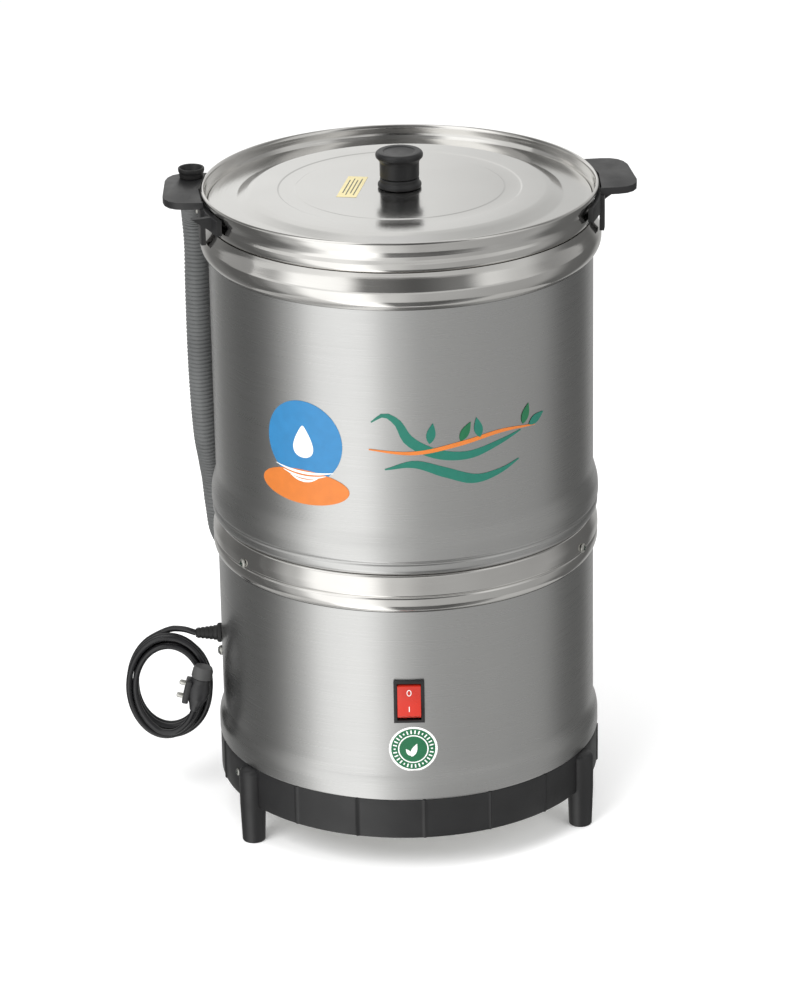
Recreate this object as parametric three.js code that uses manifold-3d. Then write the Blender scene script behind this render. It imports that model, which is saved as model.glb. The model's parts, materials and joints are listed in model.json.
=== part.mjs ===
// Electric churn-type cream separator: a lidded stainless drum on a motor base, drained by a side hose.
// Millimetres, +Z up. The origin is on the drum's axis at floor level, and the switch faces -Y.
import * as THREE from "three";
import { mergeVertices } from "three/addons/utils/BufferGeometryUtils.js";
import Module from "manifold-3d";

const wasm = await Module();
wasm.setup();

// ---------------------------------------------------------------- driving dimensions
const gap = 0.3; // between pieces that meet
const runningGap = 0.3; // all round a piece that turns
const roundSides = 28; // facets of the large round pieces
const motorSides = 20;
const knobSides = 20;
const shaftSides = 16;
const smallSides = 12;

const wallRadius = 150; // outside of both drum walls
const sheet = 1; // stainless sheet of walls, collar and lid
const legLift = 31.5; // underside of the base ring above the floor
const ringHeight = 33.2;
const casingHeight = 158.2;
const collarHeight = 30.5;
const drumHeight = 213.9;
const neckHeight = 54.5; // shoulder seam to rim

const legRadius = 10.5;
const legPitchRadius = wallRadius + 2;
const bossWall = 3.5; // round each leg socket
const baseTurn = 4; // legs and collar screws sit this many degrees round from the switch
const ribSpacing = 20; // degrees
const ledgeThickness = 3;

const vesselClearance = 5.2; // drum wall outside to vessel inside
const vesselSheet = 1.2;
const mountPlateThickness = 2.5;
const lidDrop = 6; // plateau above the lid's flange
const knobRadius = 15.3;
const knobHeight = 29;

const handleReach = wallRadius + 33; // handle tip from the axis
const handleWidth = 78;
const handleThickness = 5.5;
const handleDrop = 3; // handle top below the rim

const hoseRadius = 10.25;
const hoseWall = 2.05;
const drainAngle = 148; // drain hole and outlet elbow, measured from +X
const drainRadius = 105; // drain hole from the drum axis
const elbowHeight = 150;
const elbowReach = hoseRadius + 4.75; // elbow's upright from the casing wall

const switchHeight = 148.5;
const bezelLength = 35;
const rockerWidth = 18.2;
const bezelWidth = rockerWidth + 5.8;
const rockerTilt = 10; // degrees each side of level

const shaftRadius = 6;
const statorRadius = 54;
const statorBottom = 130;
const statorHeight = 48;
const boltRadius = 2.5;
const boltPitchRadius = 46;
const impellerRadius = 108;
const capacitorRadius = 17.5;

const cordRadius = 2.5;
const cordHeight = 144;
const coilWidth = 70.5;
const coilHeight = 93;
const coilBand = 15;
const coilDepth = 12;

// ---------------------------------------------------------------- levels that follow from them
const ringTop = legLift + ringHeight;
const casingBottom = ringTop + gap;
const casingTop = casingBottom + casingHeight;
const collarBottom = casingTop + gap;
const collarTop = collarBottom + collarHeight;
const drumBottom = collarTop + gap;
const drumTop = drumBottom + drumHeight;
const shoulderBottom = drumTop + gap;
const rimTop = shoulderBottom + neckHeight;
const vesselRadius = wallRadius - vesselClearance;
const vesselUnderside = drumBottom + sheet + gap;
const vesselFloor = vesselUnderside + vesselSheet;
const mountPlateTop = collarTop - sheet - gap;
const mountPlateBottom = mountPlateTop - mountPlateThickness;
const statorTop = statorBottom + statorHeight;
const lidTop = rimTop - 5;
const handleTop = rimTop - handleDrop;
const handleBottom = handleTop - handleThickness;
const ringRadius = wallRadius + 3.2;
const fixingAngles = [baseTurn - 150, baseTurn - 30, baseTurn + 90];
const fixingNames = ["front_left", "front_right", "rear"];

// ---------------------------------------------------------------- materials
const finish = (color, roughness, metalness) => () =>
  new THREE.MeshStandardMaterial({ color, roughness, metalness });
const satinSteel = finish(0xa8a8a6, 0.32, 1);
const polishedSteel = finish(0xc9c8c5, 0.12, 1);
const plainSteel = finish(0x9a9c9e, 0.4, 1);
const zincSteel = finish(0xb4b4ac, 0.35, 1);
const blackPlastic = finish(0x1b1b1c, 0.5, 0);
const greyPlastic = finish(0x6c6e6d, 0.55, 0);
const whitePlastic = finish(0xe4e2da, 0.4, 0);
const redPlastic = finish(0xd23a2c, 0.35, 0);
const blackRubber = finish(0x161616, 0.65, 0);
const copper = finish(0x9c4a22, 0.4, 0.8);
const laminations = finish(0x55585a, 0.55, 0.8);
const castAluminium = finish(0xa9acae, 0.5, 0.9);
const brass = finish(0xb99a4a, 0.3, 1);

// ---------------------------------------------------------------- helpers
const radians = THREE.MathUtils.degToRad;
const polar = (radius, degrees, z = 0) =>
  new THREE.Vector3(
    radius * Math.cos(radians(degrees)),
    radius * Math.sin(radians(degrees)),
    z,
  );

// A closed geometry as a manifold solid with its faces pointing out.
function solid(geometry) {
  const bare = geometry.index ? geometry.toNonIndexed() : geometry.clone();
  bare.deleteAttribute("normal");
  bare.deleteAttribute("uv");
  const merged = mergeVertices(bare, 1e-4);
  const vertProperties = merged.attributes.position.array;
  const triVerts = new Uint32Array(merged.index.array);
  const made = new wasm.Manifold(
    new wasm.Mesh({ numProp: 3, vertProperties, triVerts }),
  );
  if (made.volume() >= 0) return made;
  for (let i = 0; i < triVerts.length; i += 3)
    [triVerts[i + 1], triVerts[i + 2]] = [triVerts[i + 2], triVerts[i + 1]];
  return new wasm.Manifold(
    new wasm.Mesh({ numProp: 3, vertProperties, triVerts }),
  );
}

const root = new THREE.Group();

// Adds a solid to the part as one named mesh.
function add(name, body, material) {
  const mesh = body.getMesh();
  const position = new Float32Array(mesh.numVert * 3);
  for (let i = 0; i < mesh.numVert; i++)
    position.set(mesh.vertProperties.subarray(i * mesh.numProp, i * mesh.numProp + 3), 3 * i);
  const geometry = new THREE.BufferGeometry();
  geometry.setAttribute("position", new THREE.BufferAttribute(position, 3));
  geometry.setIndex(new THREE.BufferAttribute(mesh.triVerts, 1));
  geometry.computeVertexNormals();
  const named = new THREE.Mesh(geometry, material());
  named.name = name;
  root.add(named);
}

// Turns a profile of [radius, z] points about the Z axis; a profile off the axis closes on itself.
function turned(profile, sides = smallSides) {
  const closed = profile[0][0] === 0 ? profile : [...profile, profile[0]];
  const points = closed.map(([r, z]) => new THREE.Vector2(r, z));
  return solid(new THREE.LatheGeometry(points, sides).rotateX(Math.PI / 2));
}

const ring = (inner, outer, bottom, top, sides) =>
  turned([[inner, bottom], [outer, bottom], [outer, top], [inner, top]], sides);
const rod = (radius, bottom, top, sides) =>
  turned([[0, bottom], [radius, bottom], [radius, top], [0, top]], sides);
const hexagon = (bore, acrossFlats, bottom, top) =>
  rod(acrossFlats / 2 / Math.cos(Math.PI / 6), bottom, top, 6).subtract(
    rod(bore, bottom - 1, top + 1, shaftSides),
  );

// A line of [radius, z] points thickened to its left into the closed section of a sheet.
function sheetSection(line, thickness) {
  const points = line.map(([r, z]) => new THREE.Vector2(r, z));
  const normals = points.slice(1).map((p, i) => {
    const along = p.clone().sub(points[i]).normalize();
    return new THREE.Vector2(-along.y, along.x);
  });
  const back = points.map((p, i) => {
    const before = normals[Math.max(i - 1, 0)];
    const after = normals[Math.min(i, normals.length - 1)];
    const middle = before.clone().add(after).normalize();
    return p.clone().addScaledVector(middle, thickness / middle.dot(after));
  });
  return [...points, ...back.reverse()].map((p) => [p.x, p.y]);
}

// A sheet-metal shell turned from one side of its section.
const shell = (line, thickness) => turned(sheetSection(line, thickness), roundSides);

// A block from its lowest to its highest corner.
function block([x0, y0, z0], [x1, y1, z1]) {
  const geometry = new THREE.BoxGeometry(x1 - x0, y1 - y0, z1 - z0);
  return solid(geometry.translate((x0 + x1) / 2, (y0 + y1) / 2, (z0 + z1) / 2));
}

// A flat outline of [x, y] points raised from z = bottom.
function slab(outline, bottom, height) {
  const shape = new THREE.Shape(outline.map(([x, y]) => new THREE.Vector2(x, y)));
  const raised = new THREE.ExtrudeGeometry(shape, { depth: height, bevelEnabled: false });
  return solid(raised.translate(0, 0, bottom));
}

// An upright web in the XZ plane from an outline of [x, z] points.
const web = (outline, thickness) =>
  slab(outline, -thickness / 2, thickness).rotate([90, 0, 0]);

// A round section, hollow where a bore is given, swept along a curve through the points.
function tube(points, radius, bore, sides, steps) {
  const circle = (r) =>
    Array.from({ length: sides }, (_, i) => {
      const angle = (2 * Math.PI * i) / sides;
      return new THREE.Vector2(r * Math.cos(angle), r * Math.sin(angle));
    });
  const section = new THREE.Shape(circle(radius));
  if (bore) section.holes.push(new THREE.Path(circle(bore)));
  const extrudePath = new THREE.CatmullRomCurve3(points, false, "centripetal");
  return solid(new THREE.ExtrudeGeometry(section, { steps, extrudePath }));
}

const turnedBy = (body, degrees) => body.rotate([0, 0, degrees]);
const movedTo = (body, point) => body.translate([point.x, point.y, point.z]);
const union = (bodies) => bodies.slice(1).reduce((all, body) => all.add(body), bodies[0]);
const less = (body, cutters) => cutters.reduce((left, cutter) => left.subtract(cutter), body);
// A body made along +Z, laid out along the radius at the given angle and height.
const radial = (body, degrees, z) =>
  body.rotate([0, 90, 0]).rotate([0, 0, degrees]).translate([0, 0, z]);
const radialHole = (radius, degrees, z, sides = 10) =>
  radial(rod(radius, wallRadius - 12, wallRadius + 12, sides), degrees, z);

// Pan-head screw along +Z: head on z = seat, shank below it.
function panScrew(seat, headRadius, shankRadius, shankLength) {
  const headHeight = 0.6 * headRadius;
  return turned(
    [
      [0, seat - shankLength],
      [shankRadius, seat - shankLength],
      [shankRadius, seat],
      [headRadius, seat],
      [headRadius, seat + 0.5 * headHeight],
      [0.55 * headRadius, seat + headHeight],
      [0, seat + headHeight],
    ],
    10,
  );
}

// ---------------------------------------------------------------- base: ring, legs, bottom plate
const socketRadius = legRadius + gap;
const bossRadius = legRadius + bossWall;
const ringInner = wallRadius - 0.2;
const legCentres = fixingAngles.map((angle) => polar(legPitchRadius, angle));

function baseRing() {
  const upstandRadius = ringRadius - 0.9;
  const body = turned(
    [
      [ringRadius, legLift],
      [ringRadius, ringTop],
      [upstandRadius, ringTop],
      [upstandRadius, ringTop + 11.3],
      [ringInner, ringTop + 11.3],
      [ringInner, legLift + ledgeThickness],
      [ringInner - 9.8, legLift + ledgeThickness],
      [ringInner - 9.8, legLift],
    ],
    roundSides,
  );
  const within = rod(ringRadius, legLift, ringTop, roundSides);
  const bosses = legCentres.map((centre) =>
    movedTo(rod(bossRadius, legLift, ringTop), centre).intersect(within),
  );
  const sockets = legCentres.map((centre) => movedTo(rod(socketRadius, 0, ringTop), centre));
  const ribs = [];
  for (let turn = ribSpacing; turn < 360; turn += ribSpacing) {
    if (turn % 120 === 0) continue; // a leg stands here
    const rib = block([wallRadius + 1, -1.75, legLift], [ringRadius + 1.2, 1.75, ringTop]);
    ribs.push(turnedBy(rib, fixingAngles[0] + turn));
  }
  return less(union([body, ...bosses, ...ribs]), sockets);
}

function leg(centre) {
  const top = ringTop - gap;
  const profile = [
    [0, 0],
    [legRadius - 2, 0],
    [legRadius - 1.3, 1],
    [legRadius, legLift],
    [legRadius, top - 5],
    [0.72 * legRadius, top - 1.4],
    [0, top],
  ];
  return movedTo(turned(profile), centre);
}

function bottomPlate() {
  const bottom = legLift + ledgeThickness + gap;
  const disc = rod(ringInner - 0.4, bottom, bottom + 2, roundSides);
  const notches = legCentres.map((centre) =>
    movedTo(rod(bossRadius + gap + 0.1, bottom - 1, bottom + 3), centre),
  );
  const slots = [];
  for (let turn = 15; turn < 360; turn += 30)
    slots.push(turnedBy(block([66, -2.5, bottom - 1], [110, 2.5, bottom + 3]), turn));
  return less(disc, [...notches, ...slots]);
}

add("base_ring", baseRing(), blackPlastic);
add("bottom_plate", bottomPlate(), zincSteel);
legCentres.forEach((centre, i) => add(`leg_${fixingNames[i]}`, leg(centre), blackPlastic));

// ---------------------------------------------------------------- casing, collar and mounting plate
const collarScrewHeight = collarBottom + 16.5;
const collarScrewRadius = 2;
const collarBulge = wallRadius + 3.6;
const skirtRadius = wallRadius - sheet - gap; // collar skirt inside the casing wall
const housingRadius = 16;
const drainPipeRadius = 11;
const capacitorStud = 4;
const drainCentre = polar(drainRadius, drainAngle);
const capacitorCentre = polar(108, 40);
const switchBodyWidth = rockerWidth + 3;
const switchBodyLength = bezelLength - 1.8;
const glandRadius = 5.4;
const elbowRadius = hoseRadius - hoseWall - 0.9;
const screwHoles = () =>
  fixingAngles.map((angle) => radialHole(collarScrewRadius + gap, angle, collarScrewHeight));

function baseCasing() {
  const foot = wallRadius + 3.6;
  const line = [
    [foot, casingBottom],
    [foot, casingBottom + 14.5],
    [wallRadius, casingBottom + 23],
    [wallRadius, casingTop],
  ];
  const halfWidth = switchBodyWidth / 2 + gap;
  const halfLength = switchBodyLength / 2 + gap;
  return less(shell(line, sheet), [
    block(
      [-halfWidth, -wallRadius - 9, switchHeight - halfLength],
      [halfWidth, -wallRadius + 9, switchHeight + halfLength],
    ),
    radialHole(glandRadius + gap, 180, cordHeight, smallSides),
    radialHole(elbowRadius + gap + 0.1, drainAngle, elbowHeight, smallSides),
  ]);
}

function collarRing() {
  const line = [
    [skirtRadius, collarBottom - 10.5],
    [skirtRadius, collarBottom],
    [wallRadius + 0.2, collarBottom],
    [collarBulge, collarBottom + 5],
    [collarBulge - 0.4, collarBottom + 20.5],
    [wallRadius + 0.5, collarTop],
    [wallRadius - 14, collarTop],
  ];
  return less(shell(line, sheet), screwHoles());
}

// A shallow pan under the drum that hangs the motor and carries the bearing housing.
function mountPlate() {
  const outer = skirtRadius - 0.5;
  const pan = turned(
    [
      [housingRadius + 2 * gap, mountPlateTop],
      [outer, mountPlateTop],
      [outer, mountPlateTop - 20.7],
      [outer - 2, mountPlateTop - 20.7],
      [outer - 2, mountPlateBottom],
      [housingRadius + 2 * gap, mountPlateBottom],
    ],
    roundSides,
  );
  return less(pan, [
    ...screwHoles(),
    movedTo(rod(drainPipeRadius + 1, mountPlateBottom - 1, mountPlateTop + 1), drainCentre),
    movedTo(rod(capacitorStud + gap, mountPlateBottom - 1, mountPlateTop + 1), capacitorCentre),
  ]);
}

add("base_casing", baseCasing(), satinSteel);
add("collar_ring", collarRing(), polishedSteel);
add("mount_plate", mountPlate(), zincSteel);
fixingAngles.forEach((angle, i) => {
  const screw = panScrew(collarBulge + 0.2, 3.6, collarScrewRadius, 10.5);
  add(`collar_screw_${fixingNames[i]}`, radial(screw, angle, collarScrewHeight), zincSteel);
});

// ---------------------------------------------------------------- drum: jacket, shoulder, vessel
const handleScrewHeight = rimTop - 15.2;
const handleScrewRadius = 1.9;
const tailRadius = elbowRadius - 0.1; // drain tail under the vessel
const handles = {
  left: { angle: 180, strap: [-5, 27], prong: 14, screw: 6, gussets: [1, 22] },
  right: { angle: 7, strap: [-27, 20], prong: -14, screw: 0, gussets: [-7, 10] },
};

const drumJacket = () =>
  shell(
    [
      [wallRadius - 14, drumBottom],
      [wallRadius + 0.6, drumBottom],
      [wallRadius + 3.6, drumBottom + 3.4],
      [wallRadius + 4, drumBottom + 12.7],
      [wallRadius + 3.8, drumBottom + 21.7],
      [wallRadius, drumBottom + 35.7],
      [wallRadius, drumTop],
    ],
    sheet,
  );

const shoulderRing = () =>
  shell(
    [
      [wallRadius + 0.2, shoulderBottom],
      [wallRadius + 6.5, shoulderBottom + 9.5],
      [wallRadius + 6.5, shoulderBottom + 14.9],
      [wallRadius + 2.4, rimTop - 31],
      [wallRadius + 0.5, rimTop - 25.4],
    ],
    sheet,
  );

// The vessel hangs by its neck on the shoulder; its curled rim is the top of the drum.
function vessel() {
  const line = [
    [housingRadius + gap, vesselFloor],
    [vesselRadius - 4, vesselFloor],
    [vesselRadius, vesselFloor + 4],
    [vesselRadius, rimTop - 27],
    [wallRadius - 0.4, rimTop - 24],
    [wallRadius + 0.4, rimTop - 20],
    [wallRadius - 1.4, rimTop - 14.5],
    [wallRadius + 0.9, rimTop - 7.5],
    [wallRadius + 1.2, rimTop - 2.2],
    [wallRadius + 2.9, rimTop],
    [wallRadius + 4.7, rimTop - 2],
    [wallRadius + 4.3, rimTop - 4.6],
  ];
  const drain = rod(tailRadius + gap, vesselUnderside - 1, vesselFloor + 1);
  const holes = Object.values(handles).map(({ angle, screw }) =>
    radialHole(handleScrewRadius + gap, angle + screw, handleScrewHeight),
  );
  return less(shell(line, -vesselSheet), [movedTo(drain, drainCentre), ...holes]);
}

add("drum_jacket", drumJacket(), satinSteel);
add("shoulder_ring", shoulderRing(), polishedSteel);
add("vessel", vessel(), polishedSteel);

// ---------------------------------------------------------------- handles
const strapInner = wallRadius + 2.6;
const strapOuter = strapInner + 4.4;
const earInner = wallRadius + 5.4; // clears the curled rim
const hoseTop = new THREE.Vector3(-(wallRadius + hoseRadius + 2.25), 28, handleBottom - 2 * gap);

// Part of a ring between two angles.
function arcBand(inner, outer, [from, to], bottom, top) {
  const steps = Math.max(1, Math.round((to - from) / 8));
  const arc = (radius, start, end) =>
    Array.from({ length: steps + 1 }, (_, i) => {
      const p = polar(radius, start + ((end - start) * i) / steps);
      return [p.x, p.y];
    });
  return slab([...arc(outer, from, to), ...arc(inner, to, from)], bottom, top - bottom);
}

function ear() {
  const half = handleWidth / 2;
  const inner = earInner * Math.cos(Math.asin(half / earInner)) - 6;
  const outline = new THREE.Shape();
  outline.moveTo(inner, -half);
  outline.lineTo(handleReach - 18, -half);
  outline.quadraticCurveTo(handleReach - 2, -half, handleReach, -half + 19);
  outline.lineTo(handleReach, half - 19);
  outline.quadraticCurveTo(handleReach - 2, half, handleReach - 18, half);
  outline.lineTo(inner, half);
  const plate = new THREE.ExtrudeGeometry(outline, {
    depth: handleThickness,
    bevelEnabled: false,
    curveSegments: 4,
  });
  const flatsRadius = earInner / Math.cos(Math.PI / roundSides);
  const rimSpace = rod(flatsRadius, handleBottom - 1, handleTop + 1, roundSides);
  return solid(plate.translate(0, 0, handleBottom)).subtract(rimSpace);
}

// A flat ear with a strap round the neck, gussets under it and a prong down to the shoulder.
function handle({ angle, strap, prong, screw, gussets }) {
  const strapTop = handleBottom + 0.5;
  const strapBottom = rimTop - 20;
  const prongBlock = block([earInner, -5, rimTop - 36], [earInner + 3.6, 5, strapTop]);
  const gusset = web(
    [[strapOuter - 1, strapBottom], [strapOuter + 15, strapTop], [strapOuter - 1, strapTop]],
    4,
  );
  const body = union([
    ear(),
    arcBand(strapInner, strapOuter, strap, strapBottom, strapTop),
    turnedBy(prongBlock, prong),
    ...gussets.map((turn) => turnedBy(gusset, turn)),
  ]);
  const hole = radialHole(handleScrewRadius + gap, screw, handleScrewHeight);
  return turnedBy(body.subtract(hole), angle);
}

const cuffRadius = tailRadius;
const cuffHole = rod(cuffRadius + gap, handleBottom - 2, handleTop + 2);
const leftHandle = handle(handles.left).subtract(
  cuffHole.translate([hoseTop.x, hoseTop.y, 0]),
);
add("handle_left", leftHandle, blackPlastic);
add("handle_right", handle(handles.right), blackPlastic);
for (const [side, { angle, screw }] of Object.entries(handles)) {
  const body = panScrew(strapOuter + gap, 3.4, handleScrewRadius, 8.4);
  add(`handle_screw_${side}`, radial(body, angle + screw, handleScrewHeight), zincSteel);
}

// ---------------------------------------------------------------- lid and knob
const knobScrewRadius = 2.5;
const knobBore = knobScrewRadius + gap;
const knobSplit = lidTop + 8;
const knobTop = lidTop + knobHeight;
const knobScrewTop = knobTop - 7;

const lid = () =>
  shell(
    [
      [knobBore, lidTop],
      [wallRadius - 35, lidTop],
      [wallRadius - 23, lidTop - lidDrop],
      [wallRadius - 1.7, lidTop - lidDrop],
      [wallRadius - 1, lidTop - lidDrop - 1],
    ],
    -sheet,
  );

function knobBase() {
  const flange = knobRadius + 1.7;
  return turned(
    [
      [knobBore, lidTop + gap],
      [flange - 0.8, lidTop + gap],
      [flange, lidTop + 1.5],
      [flange, lidTop + 3.4],
      [knobRadius, lidTop + 5],
      [knobRadius, knobSplit],
      [knobBore, knobSplit],
    ],
    knobSides,
  );
}

function knob() {
  const flange = knobRadius + 3.2;
  return turned(
    [
      [0, knobScrewTop + gap],
      [knobBore, knobScrewTop + gap],
      [knobBore, knobSplit + gap],
      [knobRadius, knobSplit + gap],
      [knobRadius, knobTop - 8],
      [flange - 1, knobTop - 5],
      [flange, knobTop - 3.6],
      [flange, knobTop - 1.5],
      [flange - 1.6, knobTop],
      [0, knobTop],
    ],
    knobSides,
  );
}

function knobScrew() {
  const seat = lidTop - sheet - gap;
  return turned(
    [
      [0, seat - 2.8],
      [4, seat - 2.8],
      [5, seat],
      [knobScrewRadius, seat],
      [knobScrewRadius, knobScrewTop],
      [0, knobScrewTop],
    ],
    12,
  );
}

add("lid", lid(), polishedSteel);
add("knob_base", knobBase(), blackPlastic);
add("knob", knob(), blackPlastic);
add("knob_screw", knobScrew(), zincSteel);

// ---------------------------------------------------------------- bearing housing, shaft, impeller
const bushRadius = shaftRadius + 3.3;
const sealRadius = 12;
const housingFoot = mountPlateBottom - 18.2;
const flangeSeat = vesselFloor + gap;
const housingTop = vesselFloor + 29.2;
const sealSeat = housingTop - 6;
const hubBottom = housingTop + 2;
const hubTop = hubBottom + 14.7;
const shaftBottom = housingFoot - 11;
const shaftTop = hubTop + 8.8;
const nutBore = shaftRadius - 1;

const bearingHousing = () =>
  turned(
    [
      [bushRadius + gap, housingFoot],
      [housingRadius, housingFoot],
      [housingRadius, flangeSeat],
      [26, flangeSeat],
      [26, flangeSeat + 3.5],
      [15, flangeSeat + 3.5],
      [15, housingTop],
      [sealRadius + gap, housingTop],
      [sealRadius + gap, sealSeat],
      [bushRadius + gap, sealSeat],
    ],
    shaftSides,
  );

function impellerShaft() {
  return turned(
    [
      [0, shaftBottom],
      [shaftRadius, shaftBottom],
      [shaftRadius, housingTop + 2 * gap],
      [shaftRadius + 3, housingTop + 2 * gap],
      [shaftRadius + 3, hubBottom - gap],
      [shaftRadius, hubBottom - gap],
      [shaftRadius, hubTop],
      [nutBore, hubTop],
      [nutBore, shaftTop],
      [0, shaftTop],
    ],
    shaftSides,
  );
}

// A dished disc with a sleeve over the housing and four fins.
function impeller() {
  const disc = turned(
    [
      [shaftRadius + gap, hubTop],
      [14, hubTop],
      [20, hubTop - 6.7],
      [30, hubTop - 16.7],
      [60, vesselFloor + 18.2],
      [impellerRadius, vesselFloor + 12.2],
      [impellerRadius + 1, vesselFloor + 10.2],
      [impellerRadius, vesselFloor + 8.7],
      [60, vesselFloor + 14.2],
      [28, hubBottom - 7],
      [21.5, hubBottom - 5],
      [21.5, flangeSeat + 5.9],
      [18, flangeSeat + 5.9],
      [18, hubBottom],
      [shaftRadius + gap, hubBottom],
    ],
    motorSides,
  );
  const fin = web(
    [
      [16, hubTop - 8],
      [30, hubBottom - 5],
      [60, vesselFloor + 16.2],
      [impellerRadius - 4, vesselFloor + 10.8],
      [impellerRadius - 3, vesselFloor + 15.2],
      [impellerRadius - 12, vesselFloor + 28.2],
      [42, hubTop - 2.7],
      [16, hubTop - 2.7],
    ],
    5,
  );
  return union([disc, ...[0, 90, 180, 270].map((turn) => turnedBy(fin, turn))]);
}

function impellerNut() {
  return turned(
    [
      [0, shaftTop + gap],
      [nutBore + gap, shaftTop + gap],
      [nutBore + gap, hubTop + gap],
      [12, hubTop + gap],
      [12, hubTop + 6.3],
      [8, shaftTop + 3],
      [0, shaftTop + 5],
    ],
    12,
  );
}

const bore = shaftRadius + runningGap;
const spacerHole = housingRadius + 2 * gap;
const nutTop = mountPlateBottom - gap;
add("bearing_housing", bearingHousing(), castAluminium);
add("shaft_bush", ring(bore, bushRadius, housingFoot + 1, sealSeat - gap, shaftSides), brass);
add("shaft_seal", ring(bore, sealRadius, sealSeat + gap, housingTop - gap, shaftSides), blackRubber);
add("housing_spacer", ring(spacerHole, 30, mountPlateTop + gap, vesselUnderside - gap, shaftSides), blackRubber);
add("housing_nut", hexagon(housingRadius + gap, 44, nutTop - 8, nutTop), brass);
add("impeller_shaft", impellerShaft(), plainSteel);
add("impeller", impeller(), plainSteel);
add("impeller_nut", impellerNut(), plainSteel);

// ---------------------------------------------------------------- coupling
const couplingRadius = shaftRadius + 8;
const jawInner = shaftRadius + 1;
const jawLength = 6.5;
const upperFace = shaftBottom - 0.2;
const lowerFace = upperFace - 7.8;

// One toothed half, with its two jaws pointing up (+1) or down (-1) from its face.
function couplingHalf(face, direction, turn) {
  const back = face - direction * 10.8;
  const tip = face + direction * 6.9;
  const foot = face - direction;
  const hub = ring(shaftRadius + gap, couplingRadius, Math.min(face, back), Math.max(face, back), shaftSides);
  const jaws = [jawInner, -jawInner - jawLength].map((x) =>
    block([x, -4, Math.min(foot, tip)], [x + jawLength, 4, Math.max(foot, tip)]),
  );
  return turnedBy(union([hub, ...jaws]), turn);
}

function couplingSpider() {
  const reach = couplingRadius - 1;
  const bar = block([-reach, -1.5, lowerFace + gap], [reach, 1.5, upperFace - gap]);
  return turnedBy(bar, 45).add(turnedBy(bar, 135));
}

add("coupling_upper", couplingHalf(upperFace, -1, 0), castAluminium);
add("coupling_spider", couplingSpider(), blackRubber);
add("coupling_lower", couplingHalf(lowerFace, 1, 90), castAluminium);

// ---------------------------------------------------------------- motor
const shieldDepth = 19;
const shieldThickness = 3;
const shieldTop = statorTop + shieldDepth;
const shieldBottom = statorBottom - shieldDepth;
const bearingRadius = 11;
const rotorRadius = 29.9;
const windingRadius = boltPitchRadius - boltRadius - 1;
const boltAngles = [30, 150, 270];
const motorShaftBottom = shieldBottom - 19;
const motorShaftTop = lowerFace - gap;
const bracketTop = mountPlateBottom - gap;
const bracketBottom = shieldTop + gap;
const boltHoles = (bottom, top) =>
  boltAngles.map((angle) =>
    movedTo(rod(boltRadius + gap, bottom, top, 10), polar(boltPitchRadius, angle)),
  );
// The lower end of the motor is the upper end turned over.
const turnedOver = (body) =>
  body.rotate([180, 0, 0]).translate([0, 0, statorBottom + statorTop]);

// A cup over the stator's end with a bearing pocket in its middle.
function endShield() {
  const inner = statorRadius + gap;
  return turned(
    [
      [inner, statorTop - 8],
      [inner + 3, statorTop - 8],
      [inner + 3, shieldTop - 2.5],
      [inner + 0.7, shieldTop],
      [shaftRadius + 1, shieldTop],
      [shaftRadius + 1, shieldTop - 2.7],
      [bearingRadius + gap, shieldTop - 2.7],
      [bearingRadius + gap, shieldTop - 10],
      [bearingRadius + 4, shieldTop - 10],
      [bearingRadius + 4, shieldTop - shieldThickness],
      [inner, shieldTop - shieldThickness],
    ],
    motorSides,
  );
}
const motorBearing = () =>
  ring(shaftRadius + gap, bearingRadius, shieldTop - 9.8, shieldTop - shieldThickness, 20);
const winding = () =>
  turned(
    [
      [rotorRadius + 2.1, statorTop + gap],
      [windingRadius, statorTop + gap],
      [windingRadius, statorTop + 9],
      [windingRadius - 3, statorTop + 12.5],
      [rotorRadius + 4, statorTop + 12.5],
      [rotorRadius + 2.1, statorTop + 10.5],
    ],
    shaftSides,
  );

function coolingFan() {
  const bottom = motorShaftBottom + 3;
  const hub = ring(shaftRadius + gap, 12, bottom, bottom + 12, shaftSides);
  const disc = ring(11, 50, bottom + 9, bottom + 10.5, shaftSides);
  const blade = block([11, -0.8, bottom + 0.5], [49, 0.8, bottom + 9.5]);
  const blades = [0, 45, 90, 135, 180, 225, 270, 315].map((turn) => turnedBy(blade, turn));
  return union([hub, disc, ...blades]);
}

// A lantern of two flanges on three pillars, welded under the mounting plate.
function motorBracket() {
  const flange = (bottom) => ring(30, 56, bottom, bottom + 2.5, motorSides);
  const pillar = block([boltPitchRadius - 2, -9, bracketBottom + 1], [boltPitchRadius + 2, 9, bracketTop - 1]);
  const pillars = boltAngles.map((angle) => turnedBy(pillar, angle + 60));
  const body = union([flange(bracketBottom), flange(bracketTop - 2.5), ...pillars]);
  return less(body, boltHoles(bracketBottom - 1, bracketBottom + 4));
}

function motorBolt(angle) {
  const seat = bracketBottom + 2.5 + gap;
  return movedTo(
    panScrew(seat, 4.5, boltRadius, seat - shieldBottom - 1),
    polar(boltPitchRadius, angle),
  );
}

const topShield = less(endShield(), boltHoles(shieldTop - 5, shieldTop + 1));
const stator = ring(rotorRadius + 0.7, statorRadius, statorBottom, statorTop, motorSides);
add("motor_shaft", rod(shaftRadius, motorShaftBottom, motorShaftTop, shaftSides), plainSteel);
add(
  "rotor",
  ring(shaftRadius + gap, rotorRadius, statorBottom + 1, statorTop - 1, motorSides),
  laminations,
);
add("stator", less(stator, boltHoles(statorBottom - 1, statorTop + 1)), laminations);
add("winding_top", winding(), copper);
add("winding_bottom", turnedOver(winding()), copper);
add("motor_top_shield", topShield, castAluminium);
add(
  "motor_bottom_shield",
  less(turnedOver(endShield()), boltHoles(shieldBottom - 1, shieldBottom + 5)),
  castAluminium,
);
add("bearing_top", motorBearing(), plainSteel);
add("bearing_bottom", turnedOver(motorBearing()), plainSteel);
add("cooling_fan", coolingFan(), blackPlastic);
add("motor_bracket", motorBracket(), zincSteel);
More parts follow.
